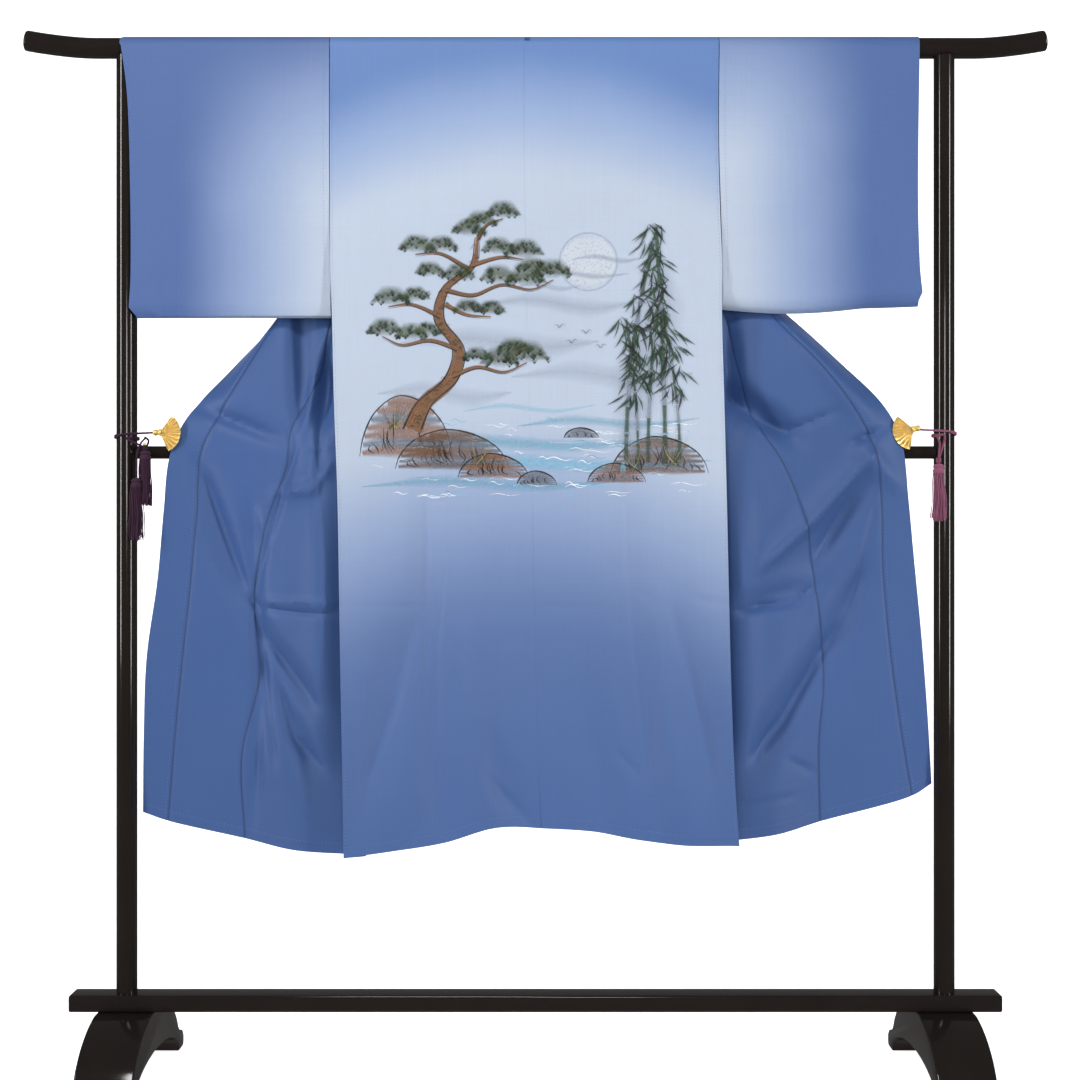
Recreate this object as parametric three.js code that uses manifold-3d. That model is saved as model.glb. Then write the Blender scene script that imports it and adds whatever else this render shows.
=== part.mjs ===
// A men's juban seen from its back, hung over a lacquered kimono stand. Two fan clips hold its fronts open.
// Millimetres, +Z up, the floor at z = 0. The stand's rails run along X and the garment's back faces -Y.
import * as THREE from "three";
import { mergeVertices } from "three/addons/utils/BufferGeometryUtils.js";
import Module from "manifold-3d";

// Stand
const POST_OUT = 686;
const POST_RADIUS = 17.25;
const RAIL_RADIUS = 17;
const RAIL_HALF_LENGTH = 855;
const RAIL_RISE = 13;
const RAIL_BEND_OUT = 740;
const RAIL_Z = 1734.5;
const MID_RAIL_RADIUS = 10.75;
const MID_RAIL_Z = 1056;
const BEAM_HALF_LENGTH = 778;
const BEAM_DEPTH = 48;
const BEAM_HEIGHT = 28;
const BEAM_TOP = 150;
const FOOT_OUT = 683;
const FOOT_WIDTH = 95;
const FOOT_REACH = 205;
const FOOT_PAD = 38;
const FOOT_ARCH = 54;
const FOOT_CROWN = 174;
const TOE_HEIGHT = 44;
const EDGE_ROUND = 3;
const TOUCH_GAP = 0.3;

// Cloth
const CLOTH = 1.6;
const SEAM_GAP = 0.25;
const WRAP_RADIUS = RAIL_RADIUS + 0.5 + CLOTH / 2;
const CREST_Z = RAIL_Z + WRAP_RADIUS;
const SEAM_CLEARANCE = CLOTH + 0.6;
const ROLL_CLEARANCE = 9;
const NECK_HALF = 85;
const COLLAR_WIDTH = 55;
const LAP_START = 0.25;
const SLEEVE_DROP = 470;
const ARMHOLE_DROP = 381;

// Clips, cords and tassels
const FAN_RADIUS = 34;
const FAN_RIBS = 9;
const FAN_THICKNESS = 1.4;
const CORD_RADIUS = 1.5;
const LOCK_WIDTH = 3.6;

const wasm = await Module();
wasm.setup();

const MATERIALS = {
  silk: { color: 0x6687bb, roughness: 0.55, metalness: 0 },
  lacquer: { color: 0x0e0b0a, roughness: 0.16, metalness: 0 },
  gold: { color: 0xe8b64a, roughness: 0.3, metalness: 1 },
  plum: { color: 0x35173a, roughness: 0.75, metalness: 0 },
  mauve: { color: 0x8c5872, roughness: 0.75, metalness: 0 },
};

// Rows of numbers become objects with the named columns.
function table(columns, rows) {
  const names = columns.split(" ");
  return rows.map((row) => Object.fromEntries(names.map((name, i) => [name, row[i]])));
}

const lerp = THREE.MathUtils.lerp;
const smoothstep = THREE.MathUtils.smoothstep;

// Value of one column at a share between the table's rows, as a smooth curve through them.
function along(rows, key, share, by = "share") {
  const last = rows.length - 1;
  let i = 0;
  while (i < last - 1 && share > rows[i + 1][by]) i++;
  const span = rows[i + 1][by] - rows[i][by];
  const t = THREE.MathUtils.clamp((share - rows[i][by]) / span, 0, 1);
  const slope = (k) => {
    const before = rows[Math.max(k - 1, 0)];
    const after = rows[Math.min(k + 1, last)];
    return (after[key] - before[key]) / (after[by] - before[by]);
  };
  const rise = 3 * t ** 2 - 2 * t ** 3;
  const leaving = t ** 3 - 2 * t ** 2 + t;
  const arriving = t ** 3 - t ** 2;
  return lerp(rows[i][key], rows[i + 1][key], rise) + span * (leaving * slope(i) + arriving * slope(i + 1));
}

// Side seams, where back and front meet: how far out and how deep, by share of the hang from crest to hem.
// "out" is measured from the middle of the stand, "depth" is y, and a negative depth is towards the viewer.
const SIDE_LEFT = table("share out depth", [
  [0.0135, 343, -18.3],
  [0.13, 343, -20],
  [0.23, 342, -24],
  [0.28, 341, -30],
  [0.35, 337, -38],
  [0.45, 332, -52],
  [0.57, 325, -62],
  [0.7, 321, -70],
  [0.82, 317, -80],
  [0.93, 313, -90],
  [1, 311, -95],
]);
const SIDE_RIGHT = table("share out depth", [
  [0.0135, 306, -18.3],
  [0.13, 305, -20],
  [0.23, 308, -24],
  [0.28, 310, -30],
  [0.35, 309, -38],
  [0.45, 311, -52],
  [0.57, 314, -62],
  [0.7, 317, -70],
  [0.82, 320, -80],
  [0.93, 325, -90],
  [1, 331, -95],
]);

// Depth of the back's centre line.
const BACK_CENTRE = table("share depth", [
  [0.0135, -18.3],
  [0.14, -19.5],
  [0.3, -21],
  [0.5, -27],
  [0.7, -32],
  [1, -36],
]);

// Length of the back from crest to hem, by place across from the centre seam to the side seam.
const BACK_HANG = table("place left right", [
  [0, 1322, 1322],
  [0.25, 1321, 1326],
  [0.5, 1343, 1338],
  [0.75, 1353, 1344],
  [1, 1361, 1341],
]);

// The fronts' section lines: a belly fold beside the side seam, the overlap's seam, the collar's seam, the edge.
const FRONT_COLUMNS = "share bellyOut bellyDepth lapOut lapDepth collarOut collarDepth edgeOut edgeDepth";
const FRONT_LEFT = table(FRONT_COLUMNS, [
  [0.0135, 159, 18.3, 107, 18.3, 103, 18.3, 48, 24],
  [0.07, 148, 45, 165, 45, 167, 47, 82, 62],
  [0.14, 186, 46, 230, 46, 232, 49, 168, 77],
  [0.21, 226, 42, 294, 41, 296, 44, 254, 81],
  [0.28, 250, 26, 320, 27, 361, 29, 341, 76],
  [0.36, 285, 2, 345, 5, 434, 8, 440, 58],
  [0.43, 318, -20, 364, -14, 490, -8, 520, 28],
  [0.49, 350, -34, 405, -27, 533, -20, 582, -8],
  [0.54, 368, -40, 414, -31, 561, -21, 610, -17],
  [0.61, 376, -42, 447, -29, 565, -21, 620, -18],
  [0.7, 380, -44, 469, -27, 576, -16, 632, -12],
  [0.8, 384, -46, 461, -25, 591, -12, 651, -8],
  [0.9, 388, -48, 489, -23, 605, -5, 657, -3],
  [1, 395, -50, 484, -20, 617, 0, 660, 4],
]);
const FRONT_RIGHT = table(FRONT_COLUMNS, [
  [0.0135, 122, 18.3, 71, 18.3, 67, 18.3, 12, 24],
  [0.07, 112, 45, 128, 45, 130, 47, 46, 62],
  [0.14, 150, 46, 192, 46, 194, 49, 136, 77],
  [0.21, 190, 42, 255, 41, 257, 44, 228, 81],
  [0.28, 222, 26, 285, 27, 321, 29, 319, 76],
  [0.36, 268, 2, 322, 5, 393, 8, 423, 58],
  [0.43, 306, -20, 342, -14, 473, -8, 509, 28],
  [0.49, 332, -34, 366, -27, 529, -20, 578, -8],
  [0.54, 350, -40, 407, -31, 562, -21, 610, -17],
  [0.61, 362, -42, 445, -29, 576, -21, 621, -18],
  [0.7, 370, -44, 465, -27, 580, -16, 633, -12],
  [0.8, 377, -46, 481, -25, 592, -12, 646, -8],
  [0.9, 384, -48, 472, -23, 610, -5, 657, -3],
  [1, 398, -50, 474, -20, 632, 0, 666, 4],
]);

// Large folds: a soft trough (deep above 0) or ridge (below 0) from one point to another, as out and drop.
const FOLD_COLUMNS = "out drop toOut toDrop width deep";
const FOLDS = {
  back_left: table(FOLD_COLUMNS, [
    [178, 760, 166, 1300, 24, 7],
    [205, 960, 280, 1270, 30, 9],
    [70, 1190, 20, 1320, 26, 7],
    [110, 1000, 96, 1330, 30, -6],
  ]),
  back_right: table(FOLD_COLUMNS, [
    [144, 740, 188, 1250, 24, 7],
    [226, 940, 290, 1260, 30, 9],
    [90, 1130, 116, 1330, 28, 6],
    [232, 1180, 240, 1345, 26, -5],
  ]),
  front_left: table(FOLD_COLUMNS, [
    [560, 730, 484, 950, 24, 8],
    [350, 600, 345, 760, 18, 12],
    [448, 1000, 360, 1130, 22, 8],
    [430, 1085, 347, 1260, 24, 8],
    [424, 775, 345, 725, 20, -6],
    [560, 620, 428, 676, 16, 5],
  ]),
  front_right: table(FOLD_COLUMNS, [
    [314, 590, 422, 668, 22, 10],
    [555, 705, 378, 885, 26, -8],
    [540, 750, 465, 880, 20, 6],
    [543, 901, 476, 1040, 22, 7],
    [472, 1040, 350, 1220, 28, 10],
    [318, 960, 460, 920, 16, 4],
  ]),
};

// Sleeve cuffs as seen: how far out the cuff stands at each drop.
const CUFF_LEFT = table("drop out", [
  [0, 694],
  [100, 681],
  [246, 676],
  [400, 675],
  [470, 679],
]);
const CUFF_RIGHT = table("drop out", [
  [0, 641],
  [271, 638],
  [406, 641],
  [470, 647],
]);

// Depth that a list of folds adds at a point of a panel.
function foldDepth(folds, out, drop) {
  let depth = 0;
  for (const fold of folds) {
    const length = Math.hypot(fold.toOut - fold.out, fold.toDrop - fold.drop);
    const ux = (fold.toOut - fold.out) / length;
    const uy = (fold.toDrop - fold.drop) / length;
    const run = (out - fold.out) * ux + (drop - fold.drop) * uy;
    const off = (out - fold.out) * uy - (drop - fold.drop) * ux;
    const started = smoothstep(run, -fold.width, fold.width * 2);
    const ended = smoothstep(run, length - fold.width, length);
    depth += fold.deep * started * (1 - ended) * Math.exp(-((off / fold.width) ** 2));
  }
  return depth;
}

// Closed wall around a grid of middle points. A looped grid joins its last column to its first.
function wallGeometry(grid, thickness, looped = false) {
  const rows = grid.length;
  const cols = grid[0].length;
  const at = (r, c) => grid[r][looped ? (c + cols) % cols : THREE.MathUtils.clamp(c, 0, cols - 1)];
  const positions = [];
  for (const half of [thickness / 2, -thickness / 2]) {
    for (let r = 0; r < rows; r++) {
      for (let c = 0; c < cols; c++) {
        const down = at(Math.min(r + 1, rows - 1), c).clone().sub(at(Math.max(r - 1, 0), c));
        const across = at(r, c + 1).clone().sub(at(r, c - 1));
        const normal = across.cross(down).normalize();
        positions.push(...grid[r][c].clone().addScaledVector(normal, half));
      }
    }
  }
  const faces = [];
  const quad = (a, b, c, d) => faces.push(a, b, c, a, c, d);
  const id = (layer, r, c) => layer * rows * cols + r * cols + (c % cols);
  const lastCol = looped ? cols : cols - 1;
  for (let r = 0; r < rows - 1; r++) {
    for (let c = 0; c < lastCol; c++) {
      quad(id(0, r, c), id(0, r, c + 1), id(0, r + 1, c + 1), id(0, r + 1, c));
      quad(id(1, r, c), id(1, r + 1, c), id(1, r + 1, c + 1), id(1, r, c + 1));
    }
    if (!looped) {
      quad(id(0, r, 0), id(0, r + 1, 0), id(1, r + 1, 0), id(1, r, 0));
      quad(id(0, r, cols - 1), id(1, r, cols - 1), id(1, r + 1, cols - 1), id(0, r + 1, cols - 1));
    }
  }
  for (let c = 0; c < lastCol; c++) {
    quad(id(0, 0, c), id(1, 0, c), id(1, 0, c + 1), id(0, 0, c + 1));
    quad(id(0, rows - 1, c), id(0, rows - 1, c + 1), id(1, rows - 1, c + 1), id(1, rows - 1, c));
  }
  const geometry = new THREE.BufferGeometry();
  geometry.setAttribute("position", new THREE.Float32BufferAttribute(positions, 3));
  geometry.setIndex(faces);
  return facingOut(geometry);
}

// Turns every face round when the closed surface holds a negative volume.
function facingOut(geometry) {
  const p = geometry.attributes.position;
  const index = geometry.index.array;
  const corner = (i) => new THREE.Vector3().fromBufferAttribute(p, index[i]);
  let volume = 0;
  for (let i = 0; i < index.length; i += 3) volume += corner(i).dot(corner(i + 1).cross(corner(i + 2)));
  if (volume < 0) {
    const turned = [];
    for (let i = 0; i < index.length; i += 3) turned.push(index[i], index[i + 2], index[i + 1]);
    geometry.setIndex(turned);
  }
  return geometry;
}

function solidOf(geometry) {
  const plain = geometry.clone();
  for (const name of ["normal", "uv"]) plain.deleteAttribute(name);
  const merged = mergeVertices(plain, 1e-3);
  return new wasm.Manifold(
    new wasm.Mesh({
      numProp: 3,
      vertProperties: new Float32Array(merged.attributes.position.array),
      triVerts: new Uint32Array(merged.index.array),
    }),
  );
}

function geometryOf(solid) {
  const mesh = solid.getMesh();
  const geometry = new THREE.BufferGeometry();
  geometry.setAttribute("position", new THREE.Float32BufferAttribute(mesh.vertProperties, 3));
  geometry.setIndex([...mesh.triVerts]);
  return geometry;
}

const group = new THREE.Group();

function addMesh(name, geometry, material) {
  const plain = geometry.clone();
  plain.computeVertexNormals();
  const mesh = new THREE.Mesh(plain, new THREE.MeshStandardMaterial(MATERIALS[material]));
  mesh.name = name;
  group.add(mesh);
  return mesh;
}

// Cloth over the top rail: shares of the wrap come first, as angles, and then shares of the hang.
// The first angle stands a little off the crest, where the shoulder's two halves meet.
function hangRows(shares, wrapSteps = 4) {
  const quarter = Math.PI / 2;
  const wrap = Array.from({ length: wrapSteps }, (_, i) => ({ angle: ((i + 0.07) / wrapSteps) * quarter }));
  return [...wrap, ...shares.map((share) => ({ share }))];
}

const OFF_RAIL = 0.0135; // share of the hang at which the cloth leaves the rail
const HANG_SHARES = [
  OFF_RAIL, 0.05, 0.09, 0.14, 0.19, 0.24, 0.28, 0.32, 0.36, 0.4, 0.44, 0.48, 0.51, 0.54, 0.575, 0.61, 0.65, 0.69,
  0.73, 0.77, 0.81, 0.85, 0.89, 0.93, 0.965, 1,
];

// Lengths of the front's lines from the crest to the hem.
const FRONT_HANG = {
  left: { edge: 1301, collar: 1315, lap: 1341, belly: 1356 },
  right: { edge: 1253, collar: 1273, lap: 1313, belly: 1330 },
};

// Cut width of the front and its overlap: narrow at the shoulder, and soon full below it.
const CUT_SHOULDER = 240;
const CUT_GAIN = 190;
const CUT_RATE = 3;
const HEM_FLARE = 60;

// The body stays open for an arm down to this share, and below it the fronts' rolls close in behind the back.
const HOLLOW_END = 0.19;
const CLOSED_FROM = 0.3;

// A point of the cloth where it lies on the rail, at an angle from the crest; side is -1 near and 1 far.
function wrapPoint(x, angle, side) {
  return new THREE.Vector3(x, side * WRAP_RADIUS * Math.sin(angle), RAIL_Z + WRAP_RADIUS * Math.cos(angle));
}

// One side of the garment, -1 for the picture's left and 1 for its right.
function garmentSide(sign) {
  const side = sign < 0 ? SIDE_LEFT : SIDE_RIGHT;
  const other = sign < 0 ? SIDE_RIGHT : SIDE_LEFT;
  const front = sign < 0 ? FRONT_LEFT : FRONT_RIGHT;
  const name = sign < 0 ? "left" : "right";
  const hang = FRONT_HANG[name];
  const sideHang = along(BACK_HANG, name, 1, "place");
  const centreOut = (share) => (along(side, "out", share) - along(other, "out", share)) / 2;

  // Depth of the back panel at a share of its hang and a distance out, its folds included.
  function backDepth(share, out, drop) {
    const centre = centreOut(share);
    const place = THREE.MathUtils.clamp((out - centre) / (along(side, "out", share) - centre), 0, 1);
    const plain = lerp(along(BACK_CENTRE, "depth", share), along(side, "depth", share), place ** 1.6);
    return plain + foldDepth(FOLDS["back_" + name], out, drop);
  }

  function backPoint(row, place) {
    const share = row.share ?? OFF_RAIL;
    const centre = centreOut(share) + SEAM_GAP;
    const out = lerp(centre, along(side, "out", share) - SEAM_GAP, place);
    if (row.angle !== undefined) return wrapPoint(sign * out, row.angle, -1);
    const drop = Math.max(share * along(BACK_HANG, name, place, "place"), WRAP_RADIUS);
    return new THREE.Vector3(sign * out, backDepth(share, out, drop), CREST_Z - drop);
  }

  // The rest of the front's cut width rolls in behind the back, so the section turns there.
  function frontSection(share) {
    const sideOut = along(side, "out", share);
    const rollDrop = Math.max(share * sideHang, WRAP_RADIUS);
    const collarOut = along(front, "collarOut", share);
    const cut = CUT_SHOULDER + (CUT_GAIN * (1 - Math.exp(-CUT_RATE * share))) / (1 - Math.exp(-CUT_RATE));
    const roll = (sideOut + collarOut - cut + HEM_FLARE * share) / 2;
    const behindBack = backDepth(share, roll, rollDrop) + ROLL_CLEARANCE;
    const rollOpen = smoothstep(share, OFF_RAIL, 0.09);
    const lapOut = along(front, "lapOut", share);
    const closing = smoothstep(share, HOLLOW_END, CLOSED_FROM);
    const nearDepth = lerp(lerp(WRAP_RADIUS, 24, rollOpen), behindBack, closing);
    const rollGap = lerp(18, 12, smoothstep(share, 0.2, 0.4)) * rollOpen;
    const seamDepth = backDepth(share, sideOut, rollDrop) + SEAM_CLEARANCE;
    const joined = smoothstep(share, 0.22, ARMHOLE_DROP / sideHang);
    const sideDepth = lerp(WRAP_RADIUS + 2 * rollOpen, seamDepth, joined);
    const at = (key, length) => ({
      out: along(front, key + "Out", share),
      depth: along(front, key + "Depth", share),
      drop: Math.max(share * length, WRAP_RADIUS),
    });
    const edge = at("edge", hang.edge);
    edge.drop += (COLLAR_WIDTH - WRAP_RADIUS) * (1 - smoothstep(share, OFF_RAIL, 0.16));
    return [
      { out: sideOut - SEAM_GAP, depth: sideDepth, drop: rollDrop },
      { out: lerp(lerp(sideOut, lapOut, 0.3), roll, rollOpen), depth: nearDepth, drop: rollDrop },
      { out: lerp(lerp(sideOut, lapOut, 0.55), roll, rollOpen), depth: nearDepth + rollGap, drop: rollDrop },
      at("belly", hang.belly),
      at("lap", hang.lap),
      at("collar", hang.collar),
      edge,
    ];
  }

  // A point of the front: place counts the section's points, so 4 is the overlap's seam and 5 the collar's.
  function frontPoint(row, place) {
    const section = frontSection(row.share ?? OFF_RAIL);
    const points = section.map((p) => new THREE.Vector3(sign * p.out, p.depth, CREST_Z - p.drop));
    const curve = new THREE.CatmullRomCurve3(points, false, "centripetal");
    const point = curve.getPoint(place / (section.length - 1));
    if (row.angle !== undefined) return wrapPoint(point.x, row.angle, 1);
    const hidden = smoothstep(row.share, 0.25, 0.31) * (1 - smoothstep(place, 0.8, 1.2));
    const clearance = lerp(SEAM_CLEARANCE, ROLL_CLEARANCE, Math.min(place, 1));
    const behind = backDepth(row.share, sign * point.x, CREST_Z - point.z) + clearance;
    point.y = lerp(point.y, behind, hidden);
    const shown = smoothstep(place, 2.3, 3);
    point.y += shown * foldDepth(FOLDS["front_" + name], sign * point.x, CREST_Z - point.z);
    return point;
  }

  const gridOf = (rows, places, pointAt) =>
    rows.map((row) => places(row).map((place) => pointAt(row, place)));
  const spread = (from, to, steps) => Array.from({ length: steps + 1 }, (_, i) => lerp(from, to, i / steps));
  const rows = hangRows(HANG_SHARES);
  const gapPlace = 0.004;
  const collarGap = (row) => ((row.share ?? 0) < 0.46 ? 0.022 : 0.008);

  const backPlaces = spread(0, 1, 11);
  addMesh("back_" + name, wallGeometry(gridOf(rows, () => backPlaces, backPoint), CLOTH), "silk");

  const bodyPlaces = (row) => {
    const end = (row.share ?? 0) < LAP_START ? 4.3 : 4 - gapPlace;
    return [...spread(0, 1, 3), 1.5, ...spread(2, 3, 3), ...spread(3, end, 4).slice(1)];
  };
  addMesh("front_" + name, wallGeometry(gridOf(rows, bodyPlaces, frontPoint), CLOTH), "silk");

  const lapRows = hangRows(HANG_SHARES.filter((share) => share > LAP_START), 0);
  const lapPlaces = (row) => spread(4 + gapPlace, 5 - collarGap(row), 5);
  addMesh("overlap_" + name, wallGeometry(gridOf(lapRows, lapPlaces, frontPoint), CLOTH), "silk");

  const collarRows = hangRows(HANG_SHARES, 0);
  const collarPlaces = (row) => spread(5 + collarGap(row), 6, 3);
  addMesh("collar_" + name, wallGeometry(gridOf(collarRows, collarPlaces, frontPoint), CLOTH), "silk");
}

// The neck's stretch of collar hangs behind the rail between the two shoulders.
// Its ends are mitred against the long strips.
function collarNeck() {
  const middle = (SIDE_RIGHT[0].out - SIDE_LEFT[0].out) / 2;
  const steps = 8;
  const drops = [30, 42, COLLAR_WIDTH];
  const rows = hangRows([], 4).map((row) => ({ half: NECK_HALF, ...row }));
  rows.push({ half: NECK_HALF - 2, drop: WRAP_RADIUS });
  for (const drop of drops) rows.push({ half: NECK_HALF - 2 - (drop - WRAP_RADIUS) * 1.5, drop });
  const grid = rows.map((row) =>
    Array.from({ length: steps + 1 }, (_, i) => {
      const x = middle + (row.half - SEAM_GAP * 2) * ((2 * i) / steps - 1);
      if (row.angle !== undefined) return wrapPoint(x, row.angle, 1);
      return new THREE.Vector3(x, WRAP_RADIUS + (row.drop - WRAP_RADIUS) * 0.1, CREST_Z - row.drop);
    }),
  );
  addMesh("collar_neck", wallGeometry(grid, CLOTH), "silk");
}

// A sleeve: a flat bag over the rail, open at the armhole and the cuff.
// Its loop runs up the near layer and down the far one.
function sleeve(sign) {
  const name = sign < 0 ? "left" : "right";
  const side = sign < 0 ? SIDE_LEFT : SIDE_RIGHT;
  const hang = along(BACK_HANG, name, 1, "place");
  const armhole = (drop) => along(side, "out", Math.min(drop / hang, 0.3)) + 1;
  const cuff = sign < 0 ? CUFF_LEFT : CUFF_RIGHT;
  const farCuff = sign < 0 ? POST_OUT - POST_RADIUS - 2 : 640;
  const farBelly = sign < 0 ? 2 : 9;
  const drops = [WRAP_RADIUS, 70, 130, 190, 250, 310, 360, 400, 432, 456];
  const stations = Array.from({ length: 12 }, (_, i) => i / 11);
  const wrapAngles = [-68, -45, -22, 0, 22, 45, 68].map(THREE.MathUtils.degToRad);
  const sagging = (place) => 449 + 7 * Math.sin(Math.PI * Math.min(place * 1.4, 1)) - 5 * place ** 3;
  const bottomAt = (place) => (sign < 0 ? SLEEVE_DROP : sagging(place));

  const grid = stations.map((place) => {
    const bottom = bottomAt(place);
    const scale = bottom / SLEEVE_DROP;
    const nearDepth = (drop) => -WRAP_RADIUS - 0.7 - 6 * (drop / SLEEVE_DROP) ** 2 * (1 - place ** 3);
    const farDepth = (drop) => WRAP_RADIUS + 0.4 - 21 * (drop / SLEEVE_DROP) ** 3;
    const outAt = (end, drop) => lerp(armhole(drop), end, place);
    const point = (out, depth, drop) => new THREE.Vector3(sign * out, depth, CREST_Z - drop);
    const near = (drop) => point(outAt(along(cuff, "out", drop, "drop"), drop), nearDepth(drop), drop * scale);
    const farSag = (drop) => farBelly * Math.sin((Math.PI * drop) / (2 * drops.at(-1))) ** 2;
    const far = (drop) => point(outAt(farCuff, drop), farDepth(drop), drop * scale + farSag(drop));
    const crown = (angle) => {
      const end = lerp(cuff[0].out, farCuff, smoothstep(angle, -1, 1));
      return wrapPoint(sign * outAt(end, 0), angle, 1);
    };
    const turnNear = near(SLEEVE_DROP);
    const turnFar = far(SLEEVE_DROP);
    turnNear.x = sign * outAt(farCuff, SLEEVE_DROP);
    turnNear.y += 4;
    turnFar.y -= 5;
    const turnMid = turnNear.clone().lerp(turnFar, 0.5);
    turnMid.z -= 2;
    return [
      ...[...drops].reverse().map(near),
      ...wrapAngles.map(crown),
      ...drops.map(far),
      turnFar,
      turnMid,
      turnNear,
    ];
  });
  addMesh("sleeve_" + name, wallGeometry(grid, CLOTH, true), "silk");
}

// Height of the top rail's middle line: level, with both ends turned up.
function railRise(x) {
  const past = Math.max(Math.abs(x) - RAIL_BEND_OUT, 0) / (RAIL_HALF_LENGTH - RAIL_BEND_OUT);
  return RAIL_RISE * past ** 1.6;
}

function circleShape(radius, sides) {
  const shape = new THREE.Shape();
  for (let i = 0; i < sides; i++) {
    const angle = (i / sides) * 2 * Math.PI;
    if (i === 0) shape.moveTo(radius, 0);
    else shape.lineTo(radius * Math.cos(angle), radius * Math.sin(angle));
  }
  shape.closePath();
  return shape;
}

function tubeAlong(points, radius, sides, steps) {
  const curve = new THREE.CatmullRomCurve3(points);
  const shape = circleShape(radius, sides);
  return new THREE.ExtrudeGeometry(shape, { extrudePath: curve, steps, bevelEnabled: false });
}

function topRail() {
  const xs = [-855, -825, -790, -755, -720, -300, 300, 720, 755, 790, 825, 855];
  const points = xs.map((x) => new THREE.Vector3(x, 0, RAIL_Z + railRise(x)));
  addMesh("top_rail", tubeAlong(points, RAIL_RADIUS, 24, 24), "lacquer");
}

function standingCylinder(radius, bottom, top, sides = 32) {
  const cylinder = new THREE.CylinderGeometry(radius, radius, top - bottom, sides);
  return cylinder.rotateX(Math.PI / 2).translate(0, 0, (top + bottom) / 2);
}

function lyingCylinder(radius, length, sides = 32) {
  return new THREE.CylinderGeometry(radius, radius, length, sides).rotateZ(Math.PI / 2);
}

// Each post reaches up into a saddle cut under the top rail.
function post(sign) {
  const solid = solidOf(standingCylinder(POST_RADIUS, BEAM_TOP + TOUCH_GAP, RAIL_Z));
  const railSpace = solidOf(lyingCylinder(RAIL_RADIUS + TOUCH_GAP, 4 * POST_RADIUS).translate(0, 0, RAIL_Z));
  const geometry = geometryOf(solid.subtract(railSpace)).translate(sign * POST_OUT, 0, 0);
  addMesh(sign < 0 ? "post_left" : "post_right", geometry, "lacquer");
}

function midRail() {
  const rail = solidOf(lyingCylinder(MID_RAIL_RADIUS, 2 * POST_OUT, 24).translate(0, 0, MID_RAIL_Z));
  let cut = rail;
  for (const sign of [-1, 1]) {
    const postSpace = standingCylinder(POST_RADIUS + TOUCH_GAP, MID_RAIL_Z - 40, MID_RAIL_Z + 40);
    cut = cut.subtract(solidOf(postSpace.translate(sign * POST_OUT, 0, 0)));
  }
  const largest = cut.decompose().sort((a, b) => b.volume() - a.volume())[0];
  addMesh("mid_rail", geometryOf(largest), "lacquer");
}

function bottomBeam() {
  const halfDepth = BEAM_DEPTH / 2 - EDGE_ROUND;
  const halfHeight = BEAM_HEIGHT / 2 - EDGE_ROUND;
  const shape = new THREE.Shape();
  shape.moveTo(-halfDepth, -halfHeight);
  shape.lineTo(halfDepth, -halfHeight);
  shape.lineTo(halfDepth, halfHeight);
  shape.lineTo(-halfDepth, halfHeight);
  shape.closePath();
  const length = 2 * (BEAM_HALF_LENGTH - EDGE_ROUND);
  const geometry = new THREE.ExtrudeGeometry(shape, {
    depth: length,
    bevelSize: EDGE_ROUND,
    bevelThickness: EDGE_ROUND,
    bevelSegments: 3,
  });
  geometry.translate(0, 0, -length / 2).rotateY(Math.PI / 2).rotateX(Math.PI / 2);
  addMesh("bottom_beam", geometry.translate(0, 0, BEAM_TOP - BEAM_HEIGHT / 2), "lacquer");
}

// A foot: an arched plank with a blunt toe at each end, flat where it stands.
function foot(sign) {
  const inset = EDGE_ROUND;
  const crownHeight = BEAM_TOP - BEAM_HEIGHT - TOUCH_GAP;
  const toeStart = FOOT_CROWN * Math.sqrt(1 - (TOE_HEIGHT / crownHeight) ** 2);
  const half = [];
  for (let i = 0; i <= 9; i++) {
    const y = lerp(26, toeStart, i / 9);
    const round = crownHeight * Math.sqrt(1 - (y / FOOT_CROWN) ** 2);
    half.push([y, i === 0 ? crownHeight : Math.min(round + 3, crownHeight)]);
  }
  half.push([toeStart + 14, TOE_HEIGHT - 9], [FOOT_REACH - 9, TOE_HEIGHT - 14]);
  half.push([FOOT_REACH, TOE_HEIGHT - 24], [FOOT_REACH, 8], [FOOT_REACH - 4, 0], [FOOT_REACH - FOOT_PAD, 0]);
  for (let i = 1; i <= 8; i++) {
    const angle = (i / 8) * (Math.PI / 2);
    half.push([(FOOT_REACH - FOOT_PAD) * Math.cos(angle), FOOT_ARCH * Math.sin(angle)]);
  }
  const outline = [...half, ...half.slice(0, -1).reverse().map(([y, z]) => [-y, z])];
  const shape = new THREE.Shape(outline.map(([y, z]) => new THREE.Vector2(y, z)));
  const geometry = new THREE.ExtrudeGeometry(shape, {
    depth: FOOT_WIDTH - 2 * inset,
    bevelSize: inset,
    bevelThickness: inset,
    bevelOffset: -inset,
    bevelSegments: 2,
  });
  geometry.translate(0, 0, -FOOT_WIDTH / 2 + inset).rotateY(Math.PI / 2).rotateX(Math.PI / 2);
  addMesh(sign < 0 ? "foot_left" : "foot_right", geometry.translate(sign * FOOT_OUT, 0, 0), "lacquer");
}

// The fan is a ribbed sector in the plane y = 0, opening along +X from its pivot.
function fanPlate(radius, from, to, ribs, ripple) {
  const rings = [5, radius * 0.5, radius];
  const steps = ribs * 2;
  const grid = rings.map((ring) =>
    Array.from({ length: steps + 1 }, (_, i) => {
      const angle = THREE.MathUtils.degToRad(lerp(from, to, i / steps));
      const rise = ripple * (ring / radius) * (i % 2 ? 1 : -1);
      return new THREE.Vector3(ring * Math.cos(angle), rise, ring * Math.sin(angle));
    }),
  );
  return solidOf(wallGeometry(grid, FAN_THICKNESS));
}

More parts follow.
